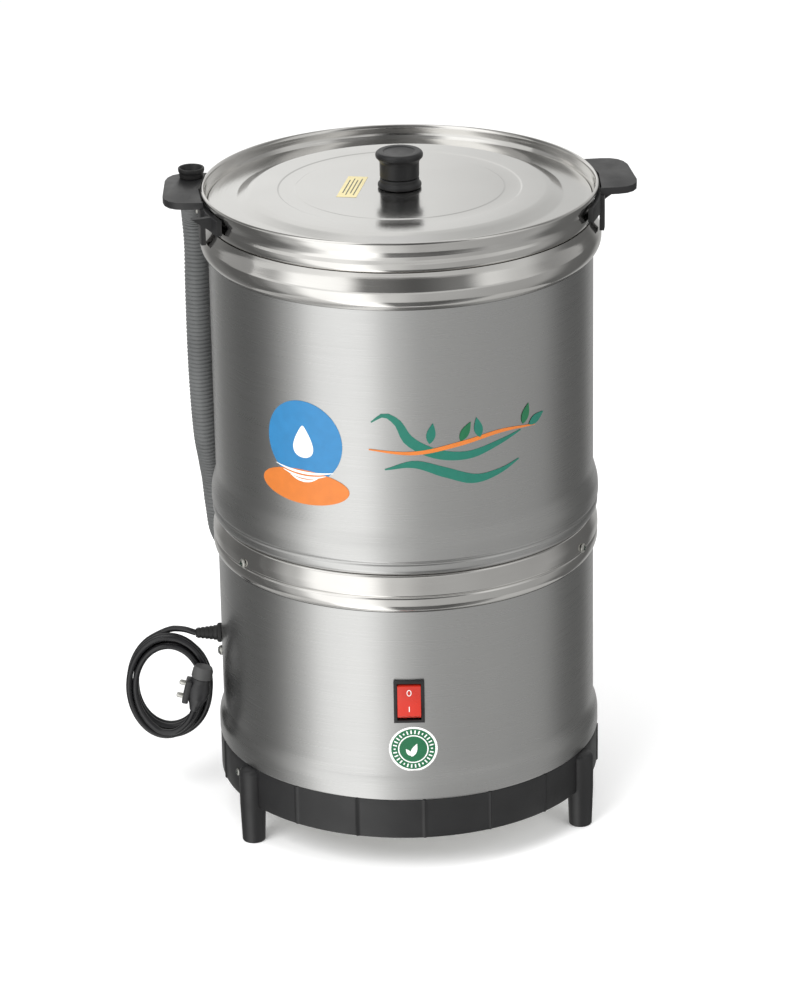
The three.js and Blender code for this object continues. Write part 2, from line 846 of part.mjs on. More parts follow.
boltAngles.forEach((angle, i) => add(`motor_bolt_${i + 1}`, motorBolt(angle), zincSteel));

function capacitor() {
  const can = rod(capacitorRadius, mountPlateBottom - gap - 60, mountPlateBottom - gap, 20);
  const stud = rod(capacitorStud, mountPlateBottom - 1, mountPlateTop + 2.1, 10);
  return movedTo(can.add(stud), capacitorCentre);
}
add("capacitor", capacitor(), whitePlastic);

// ---------------------------------------------------------------- drain
const drainPipeBore = tailRadius + 0.9;
const elbowBend = 11;
const upright = wallRadius + elbowReach;
const hoseFoot = elbowHeight + elbowBend + 5;

function drainStrainer() {
  const seat = vesselFloor + gap;
  const bottom = mountPlateBottom - 14;
  const body = turned([
    [0, seat + 1.5],
    [17, seat + 1.5],
    [17, seat],
    [tailRadius, seat],
    [tailRadius, bottom],
    [tailRadius - 1.8, bottom],
    [tailRadius - 1.8, seat],
    [0, seat],
  ]);
  const holes = [0, 72, 144, 216, 288].map((turn) =>
    movedTo(rod(1.4, seat - 1, seat + 3, 8), polar(3.6, turn)),
  );
  return movedTo(less(body, holes), drainCentre);
}

function drainPipe() {
  const route = [
    [drainRadius, vesselUnderside - gap],
    [drainRadius, mountPlateBottom - 14],
    [drainRadius, mountPlateBottom - 28],
    [drainRadius + 2, 190],
    [113, elbowHeight + 16],
    [120, elbowHeight + 4.5],
    [129, elbowHeight + 0.3],
    [wallRadius - 16, elbowHeight],
    [wallRadius - 8.5, elbowHeight],
  ].map(([radius, z]) => polar(radius, drainAngle, z));
  return tube(route, drainPipeRadius, drainPipeBore, 8, 12);
}

// Through the casing wall and up into the foot of the hose.
function drainElbow() {
  const route = [polar(wallRadius - 15, drainAngle, elbowHeight)];
  for (let turn = 0; turn <= 90; turn += 30)
    route.push(
      polar(
        upright - elbowBend + elbowBend * Math.sin(radians(turn)),
        drainAngle,
        elbowHeight + elbowBend - elbowBend * Math.cos(radians(turn)),
      ),
    );
  route.push(polar(upright, drainAngle, elbowHeight + elbowBend + 13));
  const pipe = tube(route, elbowRadius, elbowRadius - 1.8, 8, 10);
  const flange = ring(elbowRadius - 0.9, 13, wallRadius + 0.4, wallRadius + 3.4);
  return pipe.add(radial(flange, drainAngle, elbowHeight));
}

function drainHose() {
  const foot = polar(upright, drainAngle);
  const { x, y, z } = hoseTop;
  const route = [
    hoseTop,
    [x, y, z - 7],
    [x + 0.2, y + 3, z - 14],
    [x + 0.4, y + 10.5, z - 23],
    [x + 0.6, y + 15, z - 32],
    [x + 1.5, y + 16, z - 54],
    [x + 1.2, y + 13, z - 84],
    [x + 1.5, y + 12, z - 161],
    [x + 3.7, y + 15, z - 214],
    [x + 6.1, y + 24, z - 238],
    [x + 6.9, y + 28, z - 247],
    [x + 7.9, y + 32, z - 257],
    [x + 9.3, y + 34, z - 277],
    [x + 10.2, y + 35, z - 286],
    [x + 12, y + 37.5, z - 303],
    [foot.x - 5, foot.y - 11, hoseFoot + 26],
    [foot.x - 0.8, foot.y - 1.8, hoseFoot + 16],
    [foot.x, foot.y, hoseFoot + 9],
    [foot.x, foot.y, hoseFoot],
  ].map((p) => (Array.isArray(p) ? new THREE.Vector3(...p) : p));
  return tube(route, hoseRadius, hoseRadius - hoseWall, 8, 36);
}

function hoseCuff() {
  const inner = cuffRadius - 1.5;
  return turned([
    [inner, handleBottom - 5],
    [cuffRadius, handleBottom - 5],
    [cuffRadius, handleTop + gap],
    [9.3, handleTop + gap],
    [9.3, handleTop + 4],
    [10.3, handleTop + 6],
    [10.3, handleTop + 8],
    [8.6, handleTop + 8],
    [inner, handleTop + 1],
  ]).translate([hoseTop.x, hoseTop.y, 0]);
}

const elbowNut = hexagon(elbowRadius + gap + 0.1, 22, wallRadius - 8.2, wallRadius - 2.8);
add("drain_strainer", drainStrainer(), plainSteel);
add("drain_pipe", drainPipe(), blackRubber);
add("drain_elbow", drainElbow(), greyPlastic);
add("elbow_nut", radial(elbowNut, drainAngle, elbowHeight), greyPlastic);
add("drain_hose", drainHose(), greyPlastic);
add("hose_cuff", hoseCuff(), blackRubber);

// ---------------------------------------------------------------- switch
const bezelBack = -wallRadius - gap;
const bezelFront = bezelBack - 2.2;
const rockerPivot = [0, bezelFront + 7.5, switchHeight];
const rockerSweep = 15.2; // the rocker's ends from its pivot

function switchHousing() {
  const around = (halfWidth, halfLength, front, back) =>
    block([-halfWidth, front, switchHeight - halfLength], [halfWidth, back, switchHeight + halfLength]);
  const cavity = around(
    rockerWidth / 2 + runningGap,
    rockerSweep + runningGap,
    bezelFront - 1,
    bezelFront + 21.5,
  );
  const pinReach = rockerWidth / 2 + 3;
  const pinHole = rod(1.75, -pinReach, pinReach, 12).rotate([0, 90, 0]).translate(rockerPivot);
  return less(
    union([
      around(bezelWidth / 2, bezelLength / 2, bezelFront, bezelBack),
      around(switchBodyWidth / 2, switchBodyLength / 2, bezelBack - 1, bezelBack + 22.3),
    ]),
    [cavity, pinHole],
  );
}

// The rocker rests pressed in at its top; its outline is [depth behind the pivot, height].
function switchRocker() {
  const upper = [98, 80, 65, 50].map((turn) => [
    -rockerSweep * Math.cos(radians(turn)),
    rockerSweep * Math.sin(radians(turn)),
  ]);
  const lower = upper.toReversed().map(([y, z]) => [y, -z]);
  const face = [[-8.6, 6], [-8, 0], [-8.6, -6]];
  const outline = [...upper, ...face, ...lower, [3, -8], [3, 8]];
  // the outline lies in XY, then turns to YZ with its thickness along X
  const body = slab(outline, -rockerWidth / 2, rockerWidth).rotate([90, 0, 90]);
  const pins = rod(1.4, -rockerWidth / 2 - 1.3, rockerWidth / 2 + 1.3, 12).rotate([0, 90, 0]);
  return body.add(pins).rotate([-rockerTilt, 0, 0]).translate(rockerPivot);
}

add("switch_housing", switchHousing(), blackPlastic);
add("switch_rocker", switchRocker(), redPlastic);

// ---------------------------------------------------------------- power cord
const glandTip = wallRadius + 21;
const coilCentre = [-(wallRadius + 44), 0, 98];
const coilFront = -coilDepth / 2;
const leadDepth = coilFront - cordRadius - 2 * gap;

function cordGland() {
  const profile = [
    [cordRadius + gap, wallRadius - 7],
    [glandRadius, wallRadius - 7],
    [glandRadius, wallRadius + gap],
    [8, wallRadius + gap],
    [8, wallRadius + 3.3],
    [6, wallRadius + 4.3],
    [3.9, glandTip],
    [cordRadius + gap, glandTip],
  ];
  return radial(turned(profile), 180, cordHeight);
}

// From the gland over the front of the coil's top.
function cordLead() {
  const route = [
    [-glandTip - gap, 0, cordHeight],
    [-177, -3, cordHeight + 2.5],
    [-183, leadDepth, cordHeight + 2],
    [-190, leadDepth, cordHeight - 3],
    [-199, leadDepth, cordHeight - 10],
    [-207, leadDepth, cordHeight - 17],
  ].map((point) => new THREE.Vector3(...point));
  return tube(route, cordRadius, 0, 8, 12);
}

// The tied bundle of cord as one oval ring.
function cordCoil() {
  const outer = coilHeight / 2;
  const inner = outer - coilBand;
  const half = coilDepth / 2;
  const profile = [
    [inner, -half + 4],
    [inner + 4, -half],
    [outer - 4, -half],
    [outer, -half + 4],
    [outer, half - 4],
    [outer - 4, half],
    [inner + 4, half],
    [inner, half - 4],
  ];
  return turned(profile, knobSides)
    .rotate([90, 0, 0])
    .scale([coilWidth / coilHeight, 1, 1])
    .translate(coilCentre);
}

function plugBody() {
  const profile = [
    [0, -20],
    [5, -20],
    [8, -12],
    [10, 0],
    [9.2, 8],
    [9.2, 20],
    [0, 20],
  ];
  return turned(profile).translate([coilCentre[0] + 28.5, coilFront - 10 - gap, coilCentre[2]]);
}

add("cord_gland", cordGland(), blackRubber);
add("cord_lead", cordLead(), blackRubber);
add("cord_coil", cordCoil(), blackRubber);
add("plug_body", plugBody(), blackRubber);

export default root;
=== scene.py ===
"""Looks of the electric churn cream separator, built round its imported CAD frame. Metres, +Z up."""

import json
import math

import bmesh
import bpy
from mathutils import Matrix, Vector


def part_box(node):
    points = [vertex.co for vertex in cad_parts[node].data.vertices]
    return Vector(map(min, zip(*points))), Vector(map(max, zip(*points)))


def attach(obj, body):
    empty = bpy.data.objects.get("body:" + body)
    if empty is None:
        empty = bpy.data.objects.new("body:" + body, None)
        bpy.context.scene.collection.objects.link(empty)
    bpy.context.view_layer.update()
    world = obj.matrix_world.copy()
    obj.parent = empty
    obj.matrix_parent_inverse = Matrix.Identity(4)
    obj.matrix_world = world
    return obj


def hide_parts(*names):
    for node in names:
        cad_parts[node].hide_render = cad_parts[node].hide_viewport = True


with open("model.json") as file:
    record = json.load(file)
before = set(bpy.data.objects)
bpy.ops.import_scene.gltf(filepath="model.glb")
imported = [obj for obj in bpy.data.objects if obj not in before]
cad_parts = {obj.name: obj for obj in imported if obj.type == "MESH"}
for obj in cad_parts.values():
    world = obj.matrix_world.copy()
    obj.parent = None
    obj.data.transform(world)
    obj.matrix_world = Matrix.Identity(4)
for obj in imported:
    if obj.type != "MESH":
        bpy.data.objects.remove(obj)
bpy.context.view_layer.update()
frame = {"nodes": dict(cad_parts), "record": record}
nodes = frame["nodes"]

MM = 0.001
SQUARE = ((-1, -1), (1, -1), (1, 1), (-1, 1))
scene = bpy.context.scene

# -------- sizes, from the frame
WALL = 150 * MM  # outside of both drum walls
WALL_SIDES = 240
LEG_CIRCLE = WALL + 2 * MM
SHEET = 1.0 * MM
VESSEL_SHEET = 1.2 * MM


def low(node):
    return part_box(node)[0]


def high(node):
    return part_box(node)[1]


RIM_TOP = high("vessel").z
VESSEL_FLOOR = low("vessel").z + VESSEL_SHEET
SHOULDER_BOTTOM = low("shoulder_ring").z
DRUM_BOTTOM = low("drum_jacket").z
DRUM_TOP = high("drum_jacket").z
COLLAR_TOP = high("collar_ring").z
CASING_BOTTOM = low("base_casing").z
CASING_TOP = high("base_casing").z
COLLAR_BOTTOM = CASING_TOP + 0.0003
LID_TOP = high("lid").z
KNOB_TOP = high("knob").z
RING_BOTTOM = low("base_ring").z
RING_TOP = CASING_BOTTOM - 0.0003
HANDLE_TOP = high("handle_left").z
SWITCH = (low("switch_housing") + high("switch_housing")) / 2
SWITCH_OPENING = (22.6 * MM, 30 * MM, 33.8 * MM)
ROCKER_PIVOT = 145 * MM  # from the drum's axis
ROCKER_TILT = 10  # degrees, top pressed in
HOSE_TOP = (low("hose_cuff") + high("hose_cuff")) / 2
HOSE_TOP.z = low("hose_cuff").z + 4.4 * MM
COIL = (low("cord_coil") + high("cord_coil")) / 2
COIL_HALF = (high("cord_coil") - low("cord_coil")) / 2
GLAND_EXIT = Vector((low("cord_gland").x, 0, (low("cord_gland") + high("cord_gland")).z / 2))
CORD_RADIUS = 2.5 * MM
COIL_START = 100  # degrees round the coil, counter-clockwise from the drum's side
COIL_END = 254 + 5 * 360
COIL_JOIN = 15  # degrees over which the lead settles on the outer strand
COIL_STEPS = 130
COIL_CLIMB = 45  # degrees to each side of a change of layer
COIL_INSET = Vector((5.35, 0, 7.1)) * MM  # from the outer strand to the inner one
LAYER_TURN = (COIL_END - COIL_START) / 3
LAYER_PITCH = 2 * CORD_RADIUS + 0.2 * MM
PLUG_HEIGHT = high("plug_body").z - low("plug_body").z
PLUG_CENTRE = (low("plug_body") + high("plug_body")) / 2 + Vector((-4, 0, 4)) * MM
PLUG_LEAN = 14  # degrees
PLUG_AXIS = Vector((math.sin(math.radians(PLUG_LEAN)), 0, math.cos(math.radians(PLUG_LEAN))))
PLUG_BOTTOM = PLUG_CENTRE - 0.48 * PLUG_HEIGHT * PLUG_AXIS
BASE_TURN = 4  # degrees from the switch to the pattern of legs and screws
FIXINGS = [BASE_TURN - 150, BASE_TURN - 30, BASE_TURN + 90]
FIXING_NAMES = ("front_left", "front_right", "rear")


def polar(radius, degrees, z=0.0):
    turn = math.radians(degrees)
    return Vector((radius * math.cos(turn), radius * math.sin(turn), z))


# -------- camera and studio
def make_camera():
    """A long lens in front of the drum, looking a little down at it."""
    distance, elevation, roll = 3.3, math.radians(21.79), math.radians(-1.05)
    aim = Vector((-0.0081, 0, 0.2564))
    data = bpy.data.cameras.new("camera")
    data.sensor_fit = "VERTICAL"
    data.sensor_height = 24
    data.lens = 99.17
    camera = bpy.data.objects.new("camera", data)
    scene.collection.objects.link(camera)
    away = Vector((0, -math.cos(elevation), math.sin(elevation)))
    look = (-away).to_track_quat("-Z", "Y").to_matrix().to_4x4()
    place = Matrix.Translation(aim + distance * away)
    camera.matrix_world = place @ look @ Matrix.Rotation(roll, 4, "Z")
    scene.camera = camera


def softbox(name, azimuth, elevation, distance, size, power):
    """A square area light aimed at the drum; azimuth 0 is the front, positive to the right."""
    aim = Vector((0, 0, 0.25))
    data = bpy.data.lights.new(name, "AREA")
    data.size = size
    data.energy = power
    light = bpy.data.objects.new(name, data)
    scene.collection.objects.link(light)
    rise = math.radians(elevation)
    place = polar(distance * math.cos(rise), azimuth - 90, distance * math.sin(rise) + aim.z)
    look = (aim - place).to_track_quat("-Z", "Y")
    light.matrix_world = Matrix.Translation(place) @ look.to_matrix().to_4x4()
    light.visible_camera = False
    light.visible_glossy = False


def card_ring(name, bottom, top):
    """An open ring wall round the object, hidden from all but mirror-like surfaces."""
    radius, sides = 1.6, 96
    mesh = bpy.data.meshes.new(name)
    points = [polar(radius, 360 * i / sides, z) for z in (bottom, top) for i in range(sides)]
    faces = [(i, (i + 1) % sides, sides + (i + 1) % sides, sides + i) for i in range(sides)]
    mesh.from_pydata(points, [], faces)
    cards = bpy.data.objects.new(name, mesh)
    scene.collection.objects.link(cards)
    for ray in ("camera", "diffuse", "shadow", "transmission", "volume_scatter"):
        setattr(cards, "visible_" + ray, False)
    return cards


def card_glow(name, stops):
    """Light that changes round the ring; stops are (degrees rightwards from the front, grey)."""
    made = bpy.data.materials.new(name)
    made.use_nodes = True
    tree = made.node_tree
    tree.nodes.clear()
    kinds = ("TexCoord", "TexGradient", "ValToRGB", "Emission", "OutputMaterial")
    coordinate, around, ramp, emission, output = (tree.nodes.new("ShaderNode" + kind) for kind in kinds)
    around.gradient_type = "RADIAL"
    links = (
        (coordinate, "Object", around, "Vector"), (around, "Color", ramp, "Fac"),
        (ramp, "Color", emission, "Color"), (emission, "Emission", output, "Surface"),
    )
    for source, leaving, target, entering in links:
        tree.links.new(source.outputs[leaving], target.inputs[entering])
    ramp.color_ramp.interpolation = "EASE"
    spots = ramp.color_ramp.elements
    spots.remove(spots[-1])
    placed = sorted(((degrees + 90) % 360 / 360, grey) for degrees, grey in stops)
    spots[0].position = placed[0][0]
    for place, _ in placed[1:]:
        spots.new(place)
    for spot, (_, grey) in zip(spots, placed):
        spot.color = (grey, grey, 0.985 * grey, 1)
    made.cycles.emission_sampling = "NONE"
    return made


def reflector(name, bottom, top, stops):
    """A tall ring of studio cards that the polished steel mirrors."""
    cards = card_ring(name, bottom, top)
    cards.data.materials.append(card_glow(name, stops))


def make_floor():
    half = 14
    mesh = bpy.data.meshes.new("floor")
    mesh.from_pydata([(x * half, y * half, 0) for x, y in SQUARE], [], [(0, 1, 2, 3)])
    floor = bpy.data.objects.new("floor", mesh)
    scene.collection.objects.link(floor)
    paper = plain("floor_paper", (0.93, 0.93, 0.93), roughness=0.9)
    shader = paper.node_tree.nodes["Principled BSDF"]
    shader.inputs["Emission Color"].default_value = (1, 1, 1, 1)
    shader.inputs["Emission Strength"].default_value = 0.16
    mesh.materials.append(paper)
    floor.visible_glossy = False


def make_world():
    world = bpy.data.worlds.new("studio")
    world.use_nodes = True
    background = world.node_tree.nodes["Background"]
    background.inputs["Color"].default_value = (1, 1, 1, 1)
    background.inputs["Strength"].default_value = 0.72
    scene.world = world


def make_studio():
    """White surroundings, three soft lights and four rings of cards."""
    scene.view_settings.view_transform = "Standard"
    make_world()
    make_floor()
    softbox("key", azimuth=-38, elevation=42, distance=3.0, size=1.6, power=62)
    softbox("fill", azimuth=45, elevation=30, distance=3.4, size=1.8, power=26)
    softbox("top", azimuth=10, elevation=84, distance=3.0, size=2.0, power=30)
    reflector(
        "cards_under", -9.0, -1.1,
        [(-178, 0.55), (-150, 0.50), (-110, 0.45), (-80, 0.62), (-58, 0.85), (-46, 1.7), (-20, 1.6),
         (-8, 0.16), (30, 0.10), (52, 0.20), (70, 0.55), (110, 0.5), (150, 0.42), (172, 0.55)],
    )
    reflector(
        "cards_low", -1.1, 0.62,
        [(-178, 0.55), (-152, 0.46), (-128, 0.20), (-104, 0.12), (-84, 0.16), (-66, 0.52), (-50, 1.30),
         (-22, 1.42), (-8, 0.72), (12, 0.46), (50, 0.42), (84, 0.38), (108, 0.14), (132, 0.13), (150, 0.42),
         (172, 0.60)],
    )
    reflector(
        "cards_high", 0.62, 0.95,
        [(-176, 0.92), (-150, 0.95), (-124, 0.42), (-98, 0.34), (-76, 0.72), (-54, 0.95), (-30, 1.05),
         (-12, 0.72), (8, 0.60), (40, 0.56), (70, 0.62), (92, 0.30), (126, 0.45), (150, 0.62), (170, 0.66)],
    )
    reflector(
        "cards_top", 0.95, 5.0,
        [(-176, 0.90), (-150, 0.92), (-128, 0.30), (-100, 0.16), (-78, 0.45), (-60, 1.30), (-34, 1.25),
         (-20, 0.22), (8, 0.10), (34, 0.20), (50, 0.80), (72, 0.60), (92, 0.20), (122, 0.40), (148, 0.60),
         (170, 0.66)],
    )


# -------- materials
def plain(name, colour, metallic=0.0, roughness=0.5, coat=0.0):
    """A material of one even colour and gloss."""
    made = bpy.data.materials.new(name)
    made.use_nodes = True
    shader = made.node_tree.nodes["Principled BSDF"]
    shader.inputs["Base Color"].default_value = (*colour, 1)
    shader.inputs["Metallic"].default_value = metallic
    shader.inputs["Roughness"].default_value = roughness
    shader.inputs["Coat Weight"].default_value = coat
    return made


class Detail:
    """Adds colour, roughness and relief to one material."""

    def __init__(self, made):
        self.made = made
        self.tree = made.node_tree
        self.shader = self.tree.nodes["Principled BSDF"]
        self.normal = None
        self.place = self.add("TexCoord", {}).outputs["Object"]

    def add(self, kind, inputs, **settings):
        """A new node; each input takes a value or another node's output."""
        node = self.tree.nodes.new("ShaderNode" + kind)
        for setting, value in settings.items():
            setattr(node, setting, value)
        for name, value in inputs.items():
            if isinstance(value, bpy.types.NodeSocket):
                self.tree.links.new(value, node.inputs[name])
            else:
                node.inputs[name].default_value = value
        return node

    def shade(self, name, output):
        self.tree.links.new(output, self.shader.inputs[name])
        return self

    def scaled(self, scale):
        return self.add("Mapping", {"Vector": self.place, "Scale": scale}).outputs["Vector"]

    def noise(self, scale, detail=3.0, stretch=(1, 1, 1)):
        inputs = {"Vector": self.scaled(stretch), "Scale": scale, "Detail": detail}
        return self.add("TexNoise", inputs).outputs["Fac"]

    def spun(self, scale):
        """Fine rings about the drum's axis, as a spinning tool leaves them."""
        radius = self.add("VectorMath", {0: self.scaled((1, 1, 0))}, operation="LENGTH")
        inputs = {"W": radius.outputs["Value"], "Scale": scale, "Detail": 4}
        return self.add("TexNoise", inputs, noise_dimensions="1D").outputs["Fac"]

    def bands(self, scale):
        """Level stripes up the piece."""
        inputs = {"Vector": self.place, "Scale": scale}
        return self.add("TexWave", inputs, wave_type="BANDS", bands_direction="Z").outputs["Fac"]

    def ranged(self, factor, lowest, highest):
        inputs = {"Value": factor, "From Min": 0.25, "From Max": 0.75, "To Min": lowest, "To Max": highest}
        return self.add("MapRange", inputs).outputs["Result"]

    def roughness(self, factor, lowest, highest):
        return self.shade("Roughness", self.ranged(factor, lowest, highest))

    def colour(self, factor, first, second):
        inputs = {"A": (*first, 1), "B": (*second, 1), "Factor": self.ranged(factor, 0, 1)}
        return self.shade("Base Color", self.add("Mix", inputs, data_type="RGBA").outputs["Result"])

    def relief(self, factor, depth, strength=1.0):
        """Bumps of a depth in metres, laid over any that the material already has."""
        inputs = {"Height": factor, "Distance": depth, "Strength": strength}
        if self.normal is not None:
            inputs["Normal"] = self.normal
        self.normal = self.add("Bump", inputs).outputs["Normal"]
        return self.shade("Normal", self.normal)


def satin_steel():
    """Cold-rolled sheet with a fine grain round the drum."""
    detail = Detail(plain("satin_steel", (0.60, 0.60, 0.595), metallic=1, roughness=0.3))
    grain = detail.noise(1.0, 4, (18, 18, 2600))
    detail.colour(detail.noise(7, 4, (1, 1, 0.35)), (0.57, 0.57, 0.57), (0.64, 0.64, 0.63))
    detail.roughness(grain, 0.25, 0.35).relief(grain, 0.00002)
    return detail.relief(detail.noise(9, 1), 0.0005, 0.25).made


def polished_steel():
    """Spun and buffed stainless: bright, with faint tool marks and a slightly wavy face."""
    detail = Detail(plain("polished_steel", (0.78, 0.765, 0.745), metallic=1, roughness=0.1))
    marks = detail.noise(1.0, 3, (10, 10, 1500))
    detail.colour(detail.noise(14, 3, (1, 1, 3)), (0.72, 0.705, 0.685), (0.82, 0.81, 0.79))
    detail.roughness(marks, 0.07, 0.16).relief(marks, 0.00002)
    return detail.relief(detail.noise(16, 2, (1, 1, 2.2)), 0.0006, 0.35).made


def lid_steel():
    detail = Detail(plain("lid_steel", (0.76, 0.75, 0.735), metallic=1, roughness=0.16))
    rings = detail.spun(900)
    detail.colour(detail.noise(9, 3), (0.71, 0.70, 0.685), (0.79, 0.785, 0.77))
    detail.roughness(rings, 0.12, 0.22).relief(rings, 0.00002)
    return detail.relief(detail.noise(7, 2), 0.0008, 0.3).made


def turned_steel():
    detail = Detail(plain("turned_steel", (0.55, 0.55, 0.55), metallic=1, roughness=0.32))
    rings = detail.spun(1600)
    return detail.roughness(rings, 0.24, 0.42).relief(rings, 0.00003).made


def zinc_steel():
    detail = Detail(plain("zinc_steel", (0.56, 0.56, 0.53), metallic=1, roughness=0.38))
    detail.colour(detail.noise(160, 4), (0.50, 0.50, 0.47), (0.64, 0.635, 0.60))
    return detail.roughness(detail.noise(420, 3), 0.28, 0.48).made


def cast_aluminium():
    detail = Detail(plain("cast_aluminium", (0.50, 0.51, 0.52), metallic=0.9, roughness=0.5))
    grit = detail.noise(900, 3)
    return detail.roughness(grit, 0.42, 0.62).relief(grit, 0.00015, 0.6).made


def brass():
    detail = Detail(plain("brass", (0.62, 0.45, 0.17), metallic=1, roughness=0.3))
    return detail.roughness(detail.noise(300, 3), 0.22, 0.4).made


def windings():
    """Enamelled copper wire, laid turn on turn; darker in the grooves between turns and lighter on their
    crowns, as painted shade and painted highlight.
    """
    detail = Detail(plain("windings", (0.36, 0.12, 0.045), metallic=0.75, roughness=0.35))
    turns_relief_and_shade = detail.bands(520)
    # colour follows the bump: painted shade in the grooves between turns, painted highlight on each turn's
    # crown
    detail.colour(turns_relief_and_shade, (0.16, 0.05, 0.02), (0.46, 0.17, 0.07))
    return detail.relief(turns_relief_and_shade, 0.0006).made


def laminations():
    detail = Detail(plain("laminations", (0.16, 0.165, 0.17), metallic=0.8, roughness=0.5))
    sheets = detail.bands(640)
    return detail.colour(sheets, (0.10, 0.10, 0.105), (0.22, 0.225, 0.23)).relief(sheets, 0.0003).made


def moulded(name, colour, roughness, grain=1300, depth=0.00008, coat=0.0):
    """Injection-moulded plastic with a fine sparked grain and slightly uneven gloss."""
    detail = Detail(plain(name, colour, roughness=roughness, coat=coat))
    lighter = tuple(min(1, 1.3 * c + 0.004) for c in colour)
    detail.colour(detail.noise(26, 4), colour, lighter)
    detail.roughness(detail.noise(60, 4), roughness - 0.07, roughness + 0.09)
    return detail.relief(detail.noise(grain, 2), depth, 0.5).made


def printed(name, colour):
    detail = Detail(plain(name, colour, roughness=0.34, coat=0.25))
    darker = tuple(0.88 * c for c in colour)
    detail.colour(detail.noise(120, 3), darker, colour)
    return detail.roughness(detail.noise(500, 2), 0.28, 0.42).made


make_camera()
make_studio()

SATIN = satin_steel()
POLISHED = polished_steel()
LID = lid_steel()
TURNED = turned_steel()
ZINC = zinc_steel()
ALUMINIUM = cast_aluminium()
BRASS = brass()
WINDINGS = windings()
LAMINATIONS = laminations()
BLACK = moulded("black_plastic", (0.010, 0.010, 0.0105), 0.40)
RUBBER = moulded("soft_rubber", (0.009, 0.009, 0.009), 0.52, grain=700)
SHEATH = moulded("cord_sheath", (0.008, 0.008, 0.009), 0.30, grain=260, depth=0.00005)
PLUG = moulded("plug_plastic", (0.016, 0.016, 0.017), 0.34)
PLUG_FACE = moulded("plug_face", (0.055, 0.055, 0.055), 0.45)
HOSE = moulded("hose_grey", (0.095, 0.098, 0.098), 0.42, grain=500, depth=0.00006)
WHITE = moulded("white_plastic", (0.76, 0.75, 0.70), 0.35)
RED = moulded("rocker_red", (0.40, 0.018, 0.008), 0.30, depth=0.00003, coat=0.2)
PRINT_WHITE = printed("print_white", (0.86, 0.86, 0.84))
PRINT_GREEN = printed("print_green", (0.006, 0.13, 0.05))
# dark print for the lid label's rules, also used as painted shade in the screws' cross recesses
PRINT_DARK_AND_RECESS_SHADE = printed("print_dark_and_recess_shade", (0.012, 0.030, 0.022))
PRINT_TEAL = printed("print_teal", (0.006, 0.15, 0.105))
PRINT_BLUE = printed("print_blue", (0.02, 0.19, 0.42))
PRINT_ORANGE = printed("print_orange", (0.62, 0.17, 0.02))
PRINT_GOLD = printed("print_gold", (0.70, 0.60, 0.30))

SLOT_FINISH = {
    "black_plastic": BLACK, "zinc_steel": ZINC, "satin_steel": SATIN, "polished_steel": POLISHED,
    "machined_steel": TURNED, "cast_aluminium": ALUMINIUM, "brass": BRASS, "soft_rubber": RUBBER,
    "laminations": LAMINATIONS, "copper": WINDINGS, "white_plastic": WHITE, "hose_grey": HOSE,
    "rocker_red": RED, "cord_black": SHEATH,
}
for subpart in frame["record"]["subparts"]:
    slots = nodes[subpart["node"]].data.materials
    slots.clear()
    slots.append(SLOT_FINISH[subpart["material_slot"]])


# -------- shape helpers
def offsets(radius, z, steps):
    """Outline points of (radius, z), as steps in millimetres from a radius and a height."""
    return [(radius + across * MM, z + up * MM) for across, up in steps]


def rounded(points, radius, closed=True, steps=4):
    """The outline with each corner eased by a short curve."""
    corners = [Vector(p) for p in points]
    count = len(corners)
    out = []
    for i, corner in enumerate(corners):
        if not closed and i in (0, count - 1):
            out.append(corner)
            continue
        before = corners[i - 1] - corner
        after = corners[(i + 1) % count] - corner
        reach = min(radius, 0.45 * before.length, 0.45 * after.length)
        start = corner + before.normalized() * reach
        end = corner + after.normalized() * reach
        for k in range(steps + 1):
            t = k / steps
            out.append(start * (1 - t) ** 2 + corner * (2 * t * (1 - t)) + end * t**2)
    return [tuple(p) for p in out]


def sheet_outline(line, thickness, easing):
    """A line of (radius, z) eased at its corners and thickened to its left."""
    points = [Vector(p) for p in rounded(line, easing, closed=False)]
    normals = []
    for a, b in zip(points, points[1:]):
        along = (b - a).normalized()
        normals.append(Vector((-along.y, along.x)))
    back = []
    for i, point in enumerate(points):
        before, after = normals[max(i - 1, 0)], normals[min(i, len(normals) - 1)]
        middle = (before + after).normalized()
        back.append(point + middle * (thickness / max(0.3, middle.dot(after))))
    return [tuple(p) for p in points + back[::-1]]


def finish_mesh(name, built, finish, sharp=35):
    bmesh.ops.recalc_face_normals(built, faces=built.faces)
    mesh = bpy.data.meshes.new(name)
    built.to_mesh(mesh)
    built.free()
    mesh.shade_smooth()
    mesh.set_sharp_from_angle(angle=math.radians(sharp))
    mesh.materials.append(finish)
    piece = bpy.data.objects.new(name, mesh)
    scene.collection.objects.link(piece)
    return piece


def lathe(name, outline, finish, segments=192, bulge=None, sharp=35):
    """Turns an outline of (radius, z) about the axis; bulge(degrees, radius, z) moves the radius."""
    built = bmesh.new()
    rings = []
    for radius, z in outline:
        if radius < 1e-7:
            rings.append([built.verts.new((0, 0, z))] * segments)
            continue
        ring = []
        for i in range(segments):
            degrees = 360 * i / segments - 90
            extra = bulge(degrees, radius, z) if bulge else 0
            ring.append(built.verts.new(polar(radius + extra, degrees, z)))
        rings.append(ring)
    open_ended = outline[0][0] < 1e-7
    pairs = list(zip(rings, rings[1:])) + ([] if open_ended else [(rings[-1], rings[0])])
    for a, b in pairs:
        for i in range(segments):
            j = (i + 1) % segments
            corners = list(dict.fromkeys((a[i], a[j], b[j], b[i])))
            if len(corners) > 2:
                built.faces.new(corners)
    return finish_mesh(name, built, finish, sharp)


